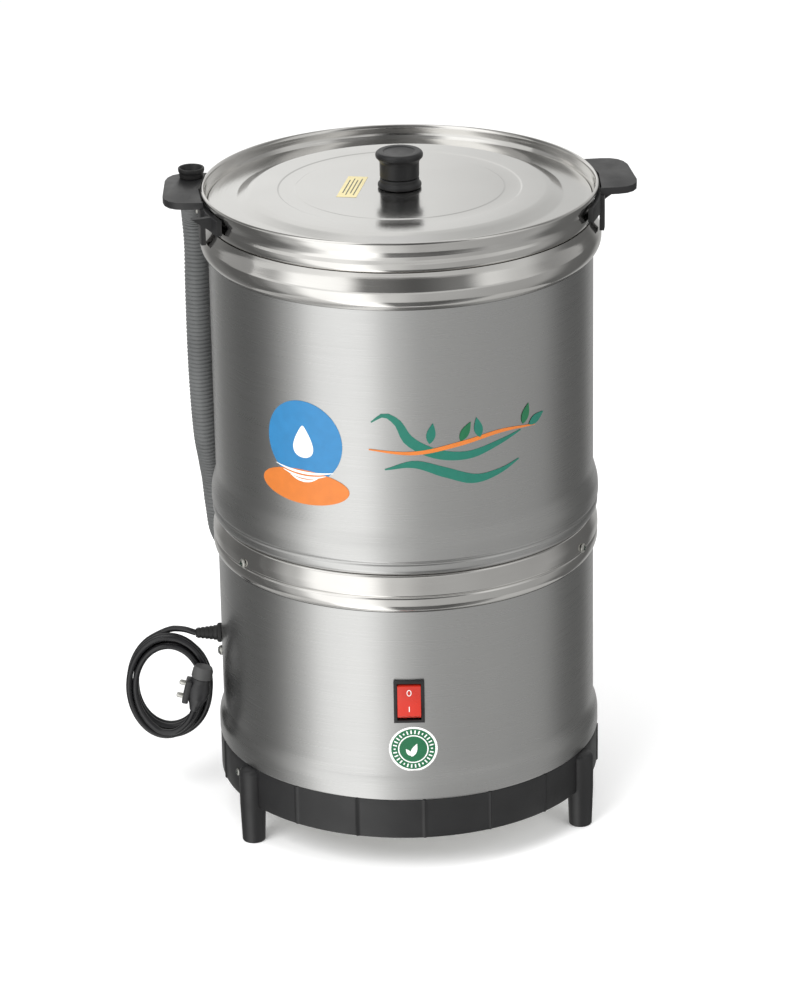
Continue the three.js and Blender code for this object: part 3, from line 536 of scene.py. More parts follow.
def ease_path(points, step):
    """A smooth curve through the points, sampled at an even spacing."""
    knots = [Vector(p) for p in points]
    ends = [2 * knots[0] - knots[1], *knots, 2 * knots[-1] - knots[-2]]
    fine = []
    for a, b, c, d in zip(ends, ends[1:], ends[2:], ends[3:]):
        spans = [max(1e-6, (q - p).length ** 0.5) for p, q in ((a, b), (b, c), (c, d))]
        into = spans[1] * ((b - a) / spans[0] - (c - a) / (spans[0] + spans[1]) + (c - b) / spans[1])
        out = spans[1] * ((c - b) / spans[1] - (d - b) / (spans[1] + spans[2]) + (d - c) / spans[2])
        for k in range(24):
            t = k / 24
            fine.append(
                b * (2 * t**3 - 3 * t**2 + 1) + into * (t**3 - 2 * t**2 + t)
                + c * (3 * t**2 - 2 * t**3) + out * (t**3 - t**2)
            )
    fine.append(knots[-1])
    return resample(fine, step)


def resample(line, step):
    lengths = [0.0]
    for a, b in zip(line, line[1:]):
        lengths.append(lengths[-1] + (b - a).length)
    count = max(2, round(lengths[-1] / step))
    out, j = [], 0
    for i in range(count + 1):
        target = lengths[-1] * i / count
        while j < len(lengths) - 2 and lengths[j + 1] < target:
            j += 1
        span = max(1e-9, lengths[j + 1] - lengths[j])
        out.append(line[j].lerp(line[j + 1], min(1, (target - lengths[j]) / span)))
    return out


def swept(name, path, radius_at, finish, sides=28, sharp=60):
    """A round tube along an evenly spaced path; radius_at gives the radius at a distance along it."""
    built = bmesh.new()
    along = (path[1] - path[0]).normalized()
    side = along.orthogonal().normalized()
    rings, distance = [], 0.0
    for i, point in enumerate(path):
        if i:
            distance += (point - path[i - 1]).length
        ahead = (path[min(i + 1, len(path) - 1)] - path[max(i - 1, 0)]).normalized()
        side = (side - ahead * side.dot(ahead)).normalized()
        up = ahead.cross(side)
        radius = radius_at(distance)
        ring = []
        for k in range(sides):
            turn = 2 * math.pi * k / sides
            ring.append(built.verts.new(point + radius * (math.cos(turn) * side + math.sin(turn) * up)))
        rings.append(ring)
    for a, b in zip(rings, rings[1:]):
        for k in range(sides):
            built.faces.new((a[k], a[(k + 1) % sides], b[(k + 1) % sides], b[k]))
    built.faces.new(rings[0][::-1])
    built.faces.new(rings[-1])
    return finish_mesh(name, built, finish, sharp)


def refined(node, name, finish, bevel):
    """A copy of a CAD node with its edges rounded, as a moulding has them."""
    built = bmesh.new()
    built.from_mesh(nodes[node].data)
    bmesh.ops.remove_doubles(built, verts=built.verts, dist=1e-5)
    bmesh.ops.dissolve_limit(built, angle_limit=math.radians(2), verts=built.verts, edges=built.edges)
    edges = [e for e in built.edges if len(e.link_faces) == 2 and e.calc_face_angle() > math.radians(35)]
    bmesh.ops.bevel(
        built, geom=edges, offset=bevel, offset_type="OFFSET", segments=3, profile=0.5,
        affect="EDGES", clamp_overlap=True,
    )
    return finish_mesh(name, built, finish, sharp=30)


def block(name, size, centre, finish, bevel, segments=3):
    built = bmesh.new()
    bmesh.ops.create_cube(built, size=1)
    bmesh.ops.scale(built, vec=size, verts=built.verts)
    bmesh.ops.bevel(
        built, geom=built.edges[:], offset=bevel, segments=segments, profile=0.5, affect="EDGES"
    )
    bmesh.ops.translate(built, vec=centre, verts=built.verts)
    return finish_mesh(name, built, finish, sharp=40)


def laid_out(piece, degrees, place):
    """Lays a piece made along +Z out along the radius at an angle."""
    turn = Matrix.Rotation(math.radians(degrees), 4, "Z") @ Matrix.Rotation(math.radians(90), 4, "Y")
    piece.data.transform(Matrix.Translation(place) @ turn)
    return piece


def joined(name, pieces):
    """One piece from several, each keeping its finish."""
    built = bmesh.new()
    finishes = []
    for piece in pieces:
        finish = piece.data.materials[0]
        if finish not in finishes:
            finishes.append(finish)
        start = len(built.faces)
        built.from_mesh(piece.data)
        built.faces.ensure_lookup_table()
        for face in built.faces[start:]:
            face.material_index = finishes.index(finish)
    mesh = bpy.data.meshes.new(name)
    built.to_mesh(mesh)
    built.free()
    for finish in finishes:
        mesh.materials.append(finish)
    whole = bpy.data.objects.new(name, mesh)
    scene.collection.objects.link(whole)
    for piece in pieces:
        bpy.data.objects.remove(piece)
    return whole


def part(piece, body, slot, *replaced):
    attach(piece, body)
    if replaced:
        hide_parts(*replaced)
    return piece


# -------- cord
def eased(value, start, end):
    share = min(1, max(0, (value - start) / (end - start)))
    return share * share * (3 - 2 * share)


def coil_point(turn):
    """A point of the coil, turn in degrees: three layers from back to front, two strands wide."""
    into_layer = (turn - COIL_START) % LAYER_TURN
    layer = int((turn - COIL_START) // LAYER_TURN)
    across = eased(into_layer, 0.42 * LAYER_TURN, 0.58 * LAYER_TURN)
    inner = 1 - across if layer % 2 else across
    depth = LAYER_PITCH * (1 - layer)
    depth -= LAYER_PITCH * eased(into_layer, LAYER_TURN - COIL_CLIMB, LAYER_TURN + COIL_CLIMB)
    depth += LAYER_PITCH * (1 - eased(into_layer, -COIL_CLIMB, COIL_CLIMB)) * (layer > 0)
    depth -= 6 * MM * eased(turn, COIL_END - 90, COIL_END + 40)
    half_width = COIL_HALF.x - CORD_RADIUS - COIL_INSET.x * inner
    half_height = COIL_HALF.z - CORD_RADIUS - COIL_INSET.z * inner
    slack = 0.1 * MM * math.sin(math.radians(1.7 * turn))
    angle = math.radians(turn)
    offset = ((half_width + slack) * math.cos(angle), depth, (half_height + slack) * math.sin(angle))
    return COIL + Vector(offset)


def cord_route():
    """From the gland over the coil's top, round its three layers, then off its front to the plug."""
    lead = [(0.3, 0, 0), (-3, 0.3, 1.0), (-8, 1.6, 2.2), (-14, 3.2, 2.5), (-20.5, 4.6, 1.7)]
    lead = [GLAND_EXIT + Vector(point) * MM for point in lead]
    turns = COIL_END - COIL_START - COIL_JOIN
    coil = [coil_point(COIL_START + COIL_JOIN + turns * i / COIL_STEPS) for i in range(COIL_STEPS)]
    before, last = coil_point(COIL_END - 2), coil_point(COIL_END - 0.01)
    return [*lead, *coil, last, *swing(before, last, PLUG_BOTTOM), PLUG_BOTTOM + 3 * MM * PLUG_AXIS]


def swing(before, start, end):
    """One even bend from the coil's last strand up into the plug."""
    handle = 0.36 * (end - start).length
    first = start + handle * (start - before).normalized()
    second = end - handle * PLUG_AXIS
    corners = (start, first, second, end)
    points = []
    for t in (1 / 3, 2 / 3, 1):
        weights = ((1 - t) ** 3, 3 * t * (1 - t) ** 2, 3 * t * t * (1 - t), t**3)
        points.append(sum((w * c for w, c in zip(weights, corners)), Vector()))
    return points


def make_cord():
    """The cord as one curve, with the point where it leaves the gland and its length."""
    path = ease_path(cord_route(), 2 * MM)
    curve = bpy.data.curves.new("power_cord", "CURVE")
    curve.dimensions = "3D"
    spline = curve.splines.new("POLY")
    spline.points.add(len(path) - 1)
    for point, place in zip(spline.points, path):
        point.co = (*place, 1)
    curve.bevel_depth = CORD_RADIUS
    curve.bevel_resolution = 5
    curve.use_fill_caps = True
    curve.materials.append(SHEATH)
    cord = bpy.data.objects.new("power_cord", curve)
    scene.collection.objects.link(cord)
    length = sum((b - a).length for a, b in zip(path, path[1:]))
    return part(cord, "base", "cord_black", "cord_lead", "cord_coil"), path[0], length


def make_gland():
    """A strain relief whose ribs taper outwards from the wall."""
    outline = offsets(0, WALL, [(2.8, 0), (7.7, 0.3), (8.0, 1.0), (7.8, 3.0), (6.2, 4.1)])
    start, tip = WALL + 4.5 * MM, -GLAND_EXIT.x
    ribs = 5
    pitch = (tip - start) / ribs
    for i in range(ribs):
        ridge = (6.0 - 2.1 * i / ribs) * MM
        groove = ridge - 0.7 * MM
        for radius, share in ((ridge, 0), (ridge, 0.62), (groove, 0.7), (groove, 0.92)):
            outline.append((radius, start + (i + share) * pitch))
    outline += offsets(0, tip, [(3.8, 0), (2.8, 0)])
    gland = lathe("cord_gland_ribbed", outline, RUBBER, 48)
    laid_out(gland, 180, Vector((0, 0, GLAND_EXIT.z)))
    return part(gland, "base", "cord_black", "cord_gland")


def plug_pin(height):
    """A short round pin that stands out of the plug's flat face."""
    outline = offsets(0, 0, [(0, 0), (2.1, 0), (2.1, 4.0), (1.6, 5.2), (0, 5.6)])
    return laid_out(lathe("pin", outline, ZINC, 32), 180, Vector((-11.0 * MM, 0, height)))


def make_plug():
    """A moulded plug leaning in the coil: waisted grip, lighter top block and two short pins."""
    radius, flatness = 9.2 * MM, 0.86
    grip_shares = [
        (0, -0.5), (0.36, -0.5), (0.42, -0.46), (0.55, -0.36), (0.90, -0.20), (1.0, -0.06), (1.0, 0.02),
        (0.90, 0.10), (0.84, 0.14), (0.84, 0.235), (0, 0.235),
    ]
    cap_shares = [(0, 0.245), (0.86, 0.245), (0.92, 0.27), (0.90, 0.42), (0.76, 0.495), (0, 0.5)]
    grip_outline, cap_outline = (
        [(radius * r, PLUG_HEIGHT * z) for r, z in shares] for shares in (grip_shares, cap_shares)
    )
    grip = lathe("plug_grip", rounded(grip_outline, 0.8 * MM, closed=False), PLUG, 64)
    cap = lathe("plug_cap", cap_outline, PLUG_FACE, 64)
    for piece in (grip, cap):
        piece.data.transform(Matrix.Diagonal((1, flatness, 1, 1)))
    face = block("face", (5.0 * MM, 12.5 * MM, 20 * MM), (-8.8 * MM, 0, -3.5 * MM), PLUG, 1.2 * MM)
    plug = joined("plug", [grip, cap, face, plug_pin(-9.0 * MM), plug_pin(2.5 * MM)])
    lean = Matrix.Rotation(math.radians(PLUG_LEAN), 4, "Y")
    plug.data.transform(Matrix.Translation(PLUG_CENTRE) @ lean)
    return part(plug, "base", "cord_black", "plug_body")


plug = make_plug()
gland = make_gland()
cord, cord_exit, cord_length = make_cord()


# -------- sheet-metal shells
def make_casing():
    """The lower wall, with a flared foot and the opening that the switch fits into."""
    line = offsets(WALL, CASING_BOTTOM, [(3.2, 0), (3.6, 0.7), (3.6, 14.5), (0, 23)])
    line += offsets(WALL, SWITCH.z, [(0, -25), (0, 25)])
    line += [(WALL, CASING_TOP)]
    casing = lathe("casing_shell", sheet_outline(line, SHEET, 5 * MM), SATIN, WALL_SIDES)
    cutter = block("cutter", SWITCH_OPENING, (0, -WALL, SWITCH.z), SATIN, 0.5 * MM)
    cut = casing.modifiers.new("opening", "BOOLEAN")
    cut.object = cutter
    cut.operation = "DIFFERENCE"
    cut.solver = "EXACT"
    bpy.context.view_layer.update()
    graph = bpy.context.evaluated_depsgraph_get()
    carved = bpy.data.meshes.new_from_object(casing.evaluated_get(graph))
    casing.modifiers.clear()
    casing.data = carved
    carved.set_sharp_from_angle(angle=math.radians(30))
    bpy.data.objects.remove(cutter)
    part(casing, "base", "satin_steel", "base_casing")


def make_collar():
    line = offsets(
        WALL, COLLAR_BOTTOM,
        [(-1.3, -10.5), (-1.3, 0), (0.4, 0.1), (2.2, 2.2), (3.4, 6), (3.3, 11.2), (2.1, 12.6), (3.6, 14.3),
         (3.3, 20.5)],
    )
    line += offsets(WALL, COLLAR_TOP, [(1.4, -4), (0.2, -0.2), (-14, 0)])
    collar = lathe("collar_shell", sheet_outline(line, SHEET, 1.6 * MM), POLISHED, WALL_SIDES)
    part(collar, "base", "polished_steel", "collar_ring")


def make_jacket():
    line = offsets(
        WALL, DRUM_BOTTOM,
        [(-14, 0), (0.6, 0), (3.3, 3.2), (3.4, 8.2), (2.3, 9.8), (4, 12), (3.8, 21.7), (0, 35.7)],
    )
    line += [(WALL, DRUM_TOP)]
    jacket = lathe("jacket_shell", sheet_outline(line, SHEET, 3 * MM), SATIN, WALL_SIDES)
    part(jacket, "base", "satin_steel", "drum_jacket")


def make_shoulder():
    line = offsets(
        WALL, SHOULDER_BOTTOM, [(0.2, 0), (4.2, 3.6), (6.3, 8.6), (6.4, 14.6), (4.4, 19), (1.9, 24.4)]
    )
    line += offsets(WALL, RIM_TOP, [(0.5, -25.4)])
    shoulder = lathe("shoulder_shell", sheet_outline(line, SHEET, 2.5 * MM), POLISHED, WALL_SIDES)
    part(shoulder, "base", "polished_steel", "shoulder_ring")


def make_vessel():
    """A floor with the shaft's hole, straight sides, a neck and a curled rim."""
    line = [(16.3 * MM, VESSEL_FLOOR), *offsets(WALL, VESSEL_FLOOR, [(-9.2, 0), (-5.2, 4)])]
    line += offsets(
        WALL, RIM_TOP,
        [(-5.2, -27), (-0.4, -24), (0.4, -20), (-1.4, -14.5), (0.9, -7.5), (1.2, -2.2), (2.9, 0), (4.7, -2),
         (4.3, -4.6)],
    )
    outline = sheet_outline(line, -VESSEL_SHEET, 2.2 * MM)
    vessel = lathe("vessel_shell", outline, POLISHED, WALL_SIDES)
    part(vessel, "base", "polished_steel", "vessel")


def make_lid():
    """A flat lid with one shallow groove and a sloping edge."""
    line = offsets(
        0, LID_TOP,
        [(2.8, 0), (81, 0), (81.8, -0.5), (94, -0.5), (94.9, 0), (114.6, 0), (118.2, -1.2), (127, -5.7),
         (144, -6.2)],
    )
    line += offsets(WALL, LID_TOP, [(-1.7, -6), (-1, -7)])
    lid = lathe("lid_shell", sheet_outline(line, -SHEET, 1.4 * MM), LID, WALL_SIDES)
    part(lid, "lid_body", "polished_steel", "lid")


def make_knob():
    """The flanged knob and the foot it is screwed down on."""
    split = high("knob_base").z
    outline = offsets(0, split, [(0, 0.3), (14.6, 0.3), (15.3, 1.0)])
    outline += offsets(
        0, KNOB_TOP,
        [(15.4, -8.4), (16.7, -6.2), (18.5, -4.4), (18.5, -1.7), (16.9, 0), (12.7, -0.1), (11.9, -0.8),
         (0, -0.6)],
    )
    knob = lathe("knob_moulding", rounded(outline, 0.9 * MM, closed=False), BLACK, 96)
    foot = offsets(0, LID_TOP, [(2.8, 0.3), (16.2, 0.3), (17, 1.2), (17, 3.2), (15.3, 5)])
    foot += offsets(0, split, [(15.3, -0.7), (14.6, 0), (2.8, 0)])
    base = lathe("knob_base_moulding", rounded(foot, 0.5 * MM), BLACK, 96)
    part(knob, "lid_body", "black_plastic", "knob")
    part(base, "lid_body", "black_plastic", "knob_base")


# -------- base ring and legs
def rib_bulge(degrees, radius, z):
    """Slim ribs every 20 degrees on the outside of the base ring, except at the legs."""
    pitch, half_width, leg_reach = 20, 0.42, 7
    if radius < WALL + 2.6 * MM or z > RING_TOP + 0.1 * MM:
        return 0
    offset = (degrees - FIXINGS[0]) % pitch
    offset = min(offset, pitch - offset)
    to_leg = min(abs((degrees - fixing + 180) % 360 - 180) for fixing in FIXINGS)
    if to_leg < leg_reach or offset > 2 * half_width:
        return 0
    return 1.0 * MM * math.exp(-((offset / half_width) ** 2) * 1.4)


def make_base_ring():
    """A ribbed ring under the casing, with a boss that holds each leg."""
    outer = WALL + 3.2 * MM
    levels = offsets(outer, RING_BOTTOM, [(-1.3, 0), (-0.3, 0.4), (0, 1.5), (0, 12)])
    levels += offsets(outer, RING_TOP, [(0, -5), (0, -0.8), (-0.3, -0.1), (-0.9, 0), (-0.9, 11.3)])
    levels += offsets(WALL, RING_TOP, [(-0.2, 11.3)])
    levels += offsets(WALL, RING_BOTTOM, [(-0.2, 3), (-10, 3), (-10, 0)])
    ring = lathe("base_ring_moulding", levels, BLACK, 1080, bulge=rib_bulge, sharp=50)
    boss_outline = offsets(0, RING_BOTTOM, [(11.0, 0), (13.6, 0), (14, 0.5)])
    boss_outline += offsets(0, RING_TOP, [(14, -1), (13.5, -0.3), (11.0, -0.3)])
    bosses = []
    for angle in FIXINGS:
        boss = lathe("boss", boss_outline, BLACK, 64)
        boss.data.transform(Matrix.Translation(polar(LEG_CIRCLE, angle)))
        trim_outside(boss, outer - 0.4 * MM)
        bosses.append(boss)
    part(joined("base_ring_whole", [ring, *bosses]), "base", "black_plastic", "base_ring")


def trim_outside(piece, radius):
    """Pulls in what stands outside a radius, so that a boss ends in the ring's wall."""
    for vertex in piece.data.vertices:
        flat = vertex.co.xy.length
        if flat > radius:
            vertex.co.xy *= radius / flat


def make_legs():
    for name, angle in zip(FIXING_NAMES, FIXINGS):
        top = high(f"leg_{name}").z
        outline = offsets(0, 0, [(0, 0), (8.2, 0), (8.8, 0.25), (9.25, 1.0)])
        outline += offsets(0, RING_BOTTOM, [(10.3, 0)])
        outline += offsets(0, top, [(10.5, -6), (10.0, -3.6), (8.4, -1.7), (5.2, -0.5), (0, 0)])
        leg = lathe(f"leg_{name}_moulding", rounded(outline, 0.6 * MM, closed=False), BLACK, 72)
        leg.data.transform(Matrix.Translation(polar(LEG_CIRCLE, angle)))
        part(leg, "base", "black_plastic", f"leg_{name}")


# -------- screws and small fittings
def pan_head(name, radius, height, finish):
    """A domed screw head along +Z, its cross recess shown by two dark blocks of painted shade."""
    outline = [
        (0, 0), (radius, 0), (radius, 0.35 * height), (0.86 * radius, 0.75 * height),
        (0.55 * radius, 0.97 * height), (0, height),
    ]
    head = lathe(name, rounded(outline, 0.12 * radius, closed=False), finish, 48)
    recess = (1.1 * radius, 0.24 * radius, 0.16 * height)
    slots = []
    # two dark blocks stand in for the cross recess: painted shade, not a cut
    for turn in (20, 110):
        slot = block("slot", recess, (0, 0, height), PRINT_DARK_AND_RECESS_SHADE, 0.02 * radius)
        slot.data.transform(Matrix.Rotation(math.radians(turn), 4, "Z"))
        slots.append(slot)
    return joined(name, [head, *slots])


def middle_height(node):
    return (low(node) + high(node)).z / 2


def make_screws():
    for name, angle in zip(FIXING_NAMES, FIXINGS):
        seat = polar(WALL + 3.8 * MM, angle, middle_height(f"collar_screw_{name}"))
        head = pan_head(f"collar_screw_head_{name}", 3.6 * MM, 2.2 * MM, ZINC)
        part(laid_out(head, angle, seat), "base", "zinc_steel", f"collar_screw_{name}")
    for side, angle in (("left", 186), ("right", 7)):
        seat = polar(WALL + 7.3 * MM, angle, middle_height(f"handle_screw_{side}"))
        head = pan_head(f"handle_screw_head_{side}", 3.4 * MM, 2.0 * MM, ZINC)
        part(laid_out(head, angle, seat), "base", "zinc_steel", f"handle_screw_{side}")
    for i, beside in enumerate((-8, 7, 8)):
        angle = FIXINGS[i] + beside
        head = pan_head(f"ring_screw_{i + 1}", 2.8 * MM, 1.6 * MM, ZINC)
        part(laid_out(head, angle, polar(WALL + 3.1 * MM, angle, 51 * MM)), "base", "zinc_steel")
    head = pan_head("side_screw", 4.2 * MM, 3.4 * MM, ZINC)
    part(laid_out(head, 180, polar(WALL - 0.1 * MM, 180, 128.5 * MM)), "base", "zinc_steel")


# -------- handles, hose and cuff
def make_handles():
    for side in ("left", "right"):
        handle = refined(f"handle_{side}", f"handle_{side}_moulding", BLACK, 1.3 * MM)
        part(handle, "base", "black_plastic", f"handle_{side}")


HOSE_ROUTE = [
    (0, 0, 0), (0, 0, -7), (0.2, 3, -14), (0.4, 10.5, -23), (0.6, 15, -32), (1.5, 16, -54), (1.2, 13, -84),
    (1.5, 12, -161), (3.7, 15, -214), (6.1, 24, -238), (6.9, 28, -247), (7.9, 32, -257), (9.3, 34, -277),
    (10.2, 35, -286), (12, 37.5, -303),
]  # millimetres from the hose's top
HOSE_FOOT_ROUTE = [(-5, -11, 26), (-0.8, -1.8, 16), (0, 0, 9), (0, 0, 0)]  # and from its foot


def make_hose():
    """A corrugated hose from the ear down behind the casing to the outlet elbow."""
    pitch, radius, depth = 3.3 * MM, 10.3 * MM, 1.15 * MM
    foot = polar(WALL + 15 * MM, 148, 166 * MM)
    route = [HOSE_TOP + Vector(p) * MM for p in HOSE_ROUTE]
    route += [foot + Vector(p) * MM for p in HOSE_FOOT_ROUTE]
    path = ease_path(route, 0.55 * MM)

    def ribbed(distance):
        return radius - depth + depth * abs(math.sin(math.pi * distance / pitch)) ** 0.55

    hose = swept("hose_ribbed", path, ribbed, HOSE, 32)
    part(hose, "base", "hose_grey", "drain_hose")


def make_cuff():
    """A soft cuff that hangs the hose in the ear and flares into a lip above it."""
    outline = offsets(0, low("hose_cuff").z, [(5.8, 0), (7.2, 0)])
    outline += offsets(
        0, HANDLE_TOP,
        [(7.2, 0.3), (9.3, 0.3), (9.5, 3.6), (10.3, 5.6), (10.3, 7.6), (9.8, 8.2), (8.6, 8.0), (5.8, 1)],
    )
    cuff = lathe("cuff_moulding", rounded(outline, 0.5 * MM), RUBBER, 72)
    cuff.data.transform(Matrix.Translation((*HOSE_TOP.xy, 0)))
    part(cuff, "base", "soft_rubber", "hose_cuff")


# -------- switch
def make_switch():
    """The bezel and the rocker, whose two marks tilt with it."""
    housing = refined("switch_housing", "switch_bezel", BLACK, 0.6 * MM)
    part(housing, "base", "black_plastic", "switch_housing")
    rocker = refined("switch_rocker", "rocker_moulding", RED, 0.7 * MM)
    marks = [mark_off(), mark_on()]
    for mark in marks:
        tilt = Matrix.Rotation(math.radians(-ROCKER_TILT), 4, "X")
        mark.data.transform(Matrix.Translation((0, -ROCKER_PIVOT, SWITCH.z)) @ tilt)
    part(joined("rocker_whole", [rocker, *marks]), "rocker", "rocker_red", "switch_rocker")


def on_rocker(across, height):
    """A point just proud of the rocker's hollow face, before it tilts."""
    reach, knee = abs(height), 6 * MM
    depth = 8.0 * MM + 0.1 * reach if reach < knee else 8.6 * MM + 0.207 * (reach - knee)
    return Vector((across, -depth - 0.06 * MM, height))


def mark_off():
    """The 0 mark: a small ring laid on the rocker's upper half."""
    ring = [polar(1.0, 9 * i) for i in range(41)]
    path = [on_rocker(1.6 * MM * p.x, 6.3 * MM + 2.3 * MM * p.y) for p in ring]
    return swept("mark_0", path, lambda distance: 0.32 * MM, PRINT_WHITE, 10)


def mark_on():
    """The 1 mark: a short upright bar on the rocker's lower half."""
    path = [on_rocker(0, -height * MM) for height in (4.6, 5.4, 6.2, 7.0, 7.8, 8.6)]
    return swept("mark_1", path, lambda distance: 0.34 * MM, PRINT_WHITE, 10)


# -------- labels on the walls
def wrapped(name, outline, centre, height, lift, finish):
    """A flat print from an outline of (across, up), wrapped on the wall; centre is in degrees."""
    built = bmesh.new()
    middle = Vector((sum(p[0] for p in outline), sum(p[1] for p in outline))) / len(outline)
    rings = []
    steps = 10
    for k in range(1, steps + 1):
        ring = []
        for across, up in outline:
            place = middle.lerp(Vector((across, up)), k / steps)
            ring.append(on_wall(built, place, centre, height, lift))
        rings.append(ring)
    hub = on_wall(built, middle, centre, height, lift)
    count = len(outline)
    for i in range(count):
        built.faces.new((hub, rings[0][i], rings[0][(i + 1) % count]))
        for a, b in zip(rings, rings[1:]):
            built.faces.new((a[i], b[i], b[(i + 1) % count], a[(i + 1) % count]))
    bmesh.ops.remove_doubles(built, verts=built.verts, dist=1e-7)
    return finish_mesh(name, built, finish, sharp=60)


def on_wall(built, place, centre, height, lift):
    degrees = -90 + centre + math.degrees(place.x / WALL)
    return built.verts.new(polar(WALL + lift, degrees, height + place.y))


def disc(radius, x=0.0, y=0.0, tall=1.0):
    """An outline of a circle at (x, y), or of an ellipse where tall is not 1."""
    turns = [2 * math.pi * i / 72 for i in range(72)]
    return [(x + radius * math.cos(turn), y + tall * radius * math.sin(turn)) for turn in turns]


def stroke(points, widths):
    """The two edges of a brush stroke of changing width along a smooth line of (across, up)."""
    knots = [(x, y, 0) for x, y in points]
    coarse = ease_path(knots, 1)
    span = sum((b - a).length for a, b in zip(coarse, coarse[1:]))
    fine = ease_path(knots, span / 26)
    left, right = [], []
    for i, place in enumerate(fine):
        along = (fine[min(i + 1, len(fine) - 1)] - fine[max(i - 1, 0)]).normalized()
        t = i / (len(fine) - 1) * (len(widths) - 1)
        k = min(int(t), len(widths) - 2)
        half = 0.5 * (widths[k] + (widths[k + 1] - widths[k]) * (t - k))
        normal = Vector((-along.y, along.x, 0))
        left.append(place + normal * half)
        right.append(place - normal * half)
    return left, right


def wrapped_stroke(name, points, widths, centre, height, lift, finish):
    """A brush stroke wrapped on the wall; points and widths are in millimetres."""
    built = bmesh.new()
    left, right = stroke([(x * MM, y * MM) for x, y in points], [w * MM for w in widths])
    a = [on_wall(built, p, centre, height, lift) for p in left]
    m = [on_wall(built, (p + q) / 2, centre, height, lift) for p, q in zip(left, right)]
    b = [on_wall(built, p, centre, height, lift) for p in right]
    for i in range(len(a) - 1):
        built.faces.new((a[i], a[i + 1], m[i + 1], m[i]))
        built.faces.new((m[i], m[i + 1], b[i + 1], b[i]))
    return finish_mesh(name, built, finish, sharp=60)


def leaf(length, width, x, y, turn):
    """A leaf outline with its stalk end at (x, y)."""
    points = []
    for side in (1, -1):
        for i in range(12):
            t = i / 12 if side == 1 else 1 - i / 12
            points.append((t * length, side * 0.5 * width * math.sin(math.pi * t**0.8)))
    c, s = math.cos(math.radians(turn)), math.sin(math.radians(turn))
    return [(x + c * u - s * v, y + s * u + c * v) for u, v in points]


def make_round_label():
    """A blank green and white quality label under the switch: rings, ticks and a leaf, no words."""
    turn, height = 1, 107.5 * MM
    large = leaf(12 * MM, 4.6 * MM, -1.5 * MM, -6.5 * MM, 68)
    small = leaf(7 * MM, 3.2 * MM, -1.8 * MM, -5.5 * MM, 125)
    layers = [
        ("paper", disc(19 * MM), 0.25, PRINT_WHITE),
        ("ring", disc(17.2 * MM), 0.32, PRINT_GREEN),
        ("inner", disc(11.9 * MM), 0.39, PRINT_WHITE),
        ("middle", disc(10.9 * MM), 0.46, PRINT_GREEN),
        ("leaf_a", large, 0.53, PRINT_WHITE), ("leaf_b", small, 0.53, PRINT_WHITE),
    ]
    ticks = 30
    for i in range(ticks):
        around = Matrix.Rotation(2 * math.pi * i / ticks, 2)
        half_length = (1.5 if i % 5 else 0.8) * MM
        corners = [Vector((14.55 * MM + x * half_length, y * 0.55 * MM)) for x, y in SQUARE]
        layers.append(("tick", [tuple(around @ corner) for corner in corners], 0.40, PRINT_WHITE))
    pieces = [
        wrapped(name, outline, turn, height, lift * MM, finish)
        for name, outline, lift, finish in layers
    ]
    part(joined("round_label", pieces), "base", "satin_steel")


def milk_drop():
    """A drop outline, pointed at the top."""
    turns = [2 * math.pi * i / 48 for i in range(48)]
    return [(9 * MM * math.sin(t) * (0.88 - 0.5 * math.cos(t)), 13 * MM * math.cos(t)) for t in turns]


def print_disc(turn, height):
    """A blue disc on an orange ground, with a white drop over three ripples."""
    ground = disc(39 * MM, x=-1 * MM, y=-37 * MM, tall=0.36)
    pieces = [
        wrapped("sky", disc(33 * MM), turn, height, 0.20 * MM, PRINT_BLUE),
        wrapped("ground", ground, turn, height, 0.26 * MM, PRINT_ORANGE),
        wrapped("drop", milk_drop(), turn, height, 0.30 * MM, PRINT_WHITE),
    ]
    widths = [0.4, 1.8, 2.2, 1.8, 0.4]
    for i, (size, up) in enumerate(((26, -22), (19, -25.5), (12, -28.5))):
        points = [(-size, up), (-size / 2, up - 2.4), (0, up - 3.2), (size / 2, up - 2.4), (size, up)]
        pieces.append(
            wrapped_stroke(f"ripple_{i}", points, widths, turn, height, 0.34 * MM, PRINT_WHITE)
        )
    return pieces


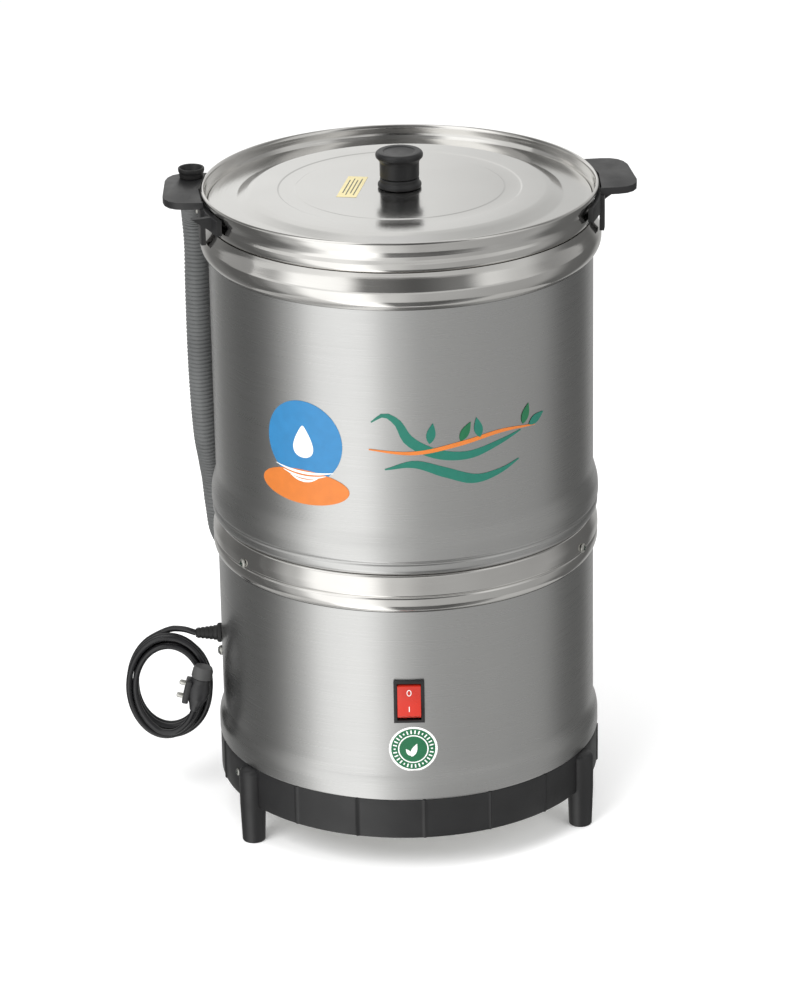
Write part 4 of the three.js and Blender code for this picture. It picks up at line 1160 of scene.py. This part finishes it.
def print_ribbons(turn, height):
    """Three ribbons that cross the wall, and five leaves above them."""
    ribbons = [
        ([(-62, 30), (-52, 36), (-42, 30), (-34, 16), (-14, 4), (12, 0), (38, 6), (58, 12)],
         [1, 5, 8, 8, 7, 6, 4, 1], PRINT_TEAL),
        ([(-52, -8), (-30, -4), (-6, -12), (18, -20), (40, -17), (56, -11)],
         [1, 6, 8, 8, 5, 1], PRINT_TEAL),
        ([(-64, 8), (-30, 5), (6, 10), (40, 15), (72, 13)], [1, 3, 3.6, 3, 1], PRINT_ORANGE),
    ]
    pieces = []
    for i, (points, widths, finish) in enumerate(ribbons):
        lift = (0.24 + 0.05 * i) * MM
        pieces.append(wrapped_stroke(f"ribbon_{i}", points, widths, turn, height, lift, finish))
    leaves = [(-18, 12, 80), (6, 12, 60), (22, 13, 100), (60, 16, 70), (66, 14, 25)]
    for i, (x, y, tilt) in enumerate(leaves):
        outline = leaf(17 * MM, 7 * MM, x * MM, y * MM, tilt)
        finish = PRINT_GREEN if i % 2 else PRINT_TEAL
        pieces.append(wrapped(f"leaf_{i}", outline, turn, height, 0.4 * MM, finish))
    return pieces


def make_front_print():
    """A plain dairy motif on the drum: a disc with a milk drop, ribbons and leaves."""
    height = 357 * MM
    pieces = print_disc(-31, height) + print_ribbons(14, height - 8 * MM)
    part(joined("front_print", pieces), "base", "satin_steel")


def make_lid_label():
    """A small foil label on the lid, with blank ruled lines."""
    foil = (53 * MM, 15.5 * MM, 0.12 * MM)
    pieces = [block("foil", foil, (0, 0, 0.12 * MM), PRINT_GOLD, 0.03 * MM, 1)]
    for row in range(4):
        rule = ((42 if row % 2 else 34) * MM, 0.9 * MM, 0.05 * MM)
        centre = (0, (4.5 - 3 * row) * MM, 0.2 * MM)
        pieces.append(block("rule", rule, centre, PRINT_DARK_AND_RECESS_SHADE, 0.01 * MM, 1))
    label = joined("lid_label", pieces)
    place = Matrix.Translation((-36.8 * MM, 1.2 * MM, LID_TOP))
    label.data.transform(place @ Matrix.Rotation(math.radians(80), 4, "Z"))
    part(label, "lid_body", "polished_steel")


for make in (make_casing, make_collar, make_jacket, make_shoulder, make_vessel, make_lid, make_knob,
             make_base_ring, make_legs, make_screws, make_handles, make_hose, make_cuff, make_switch,
             make_round_label, make_front_print, make_lid_label):
    make()
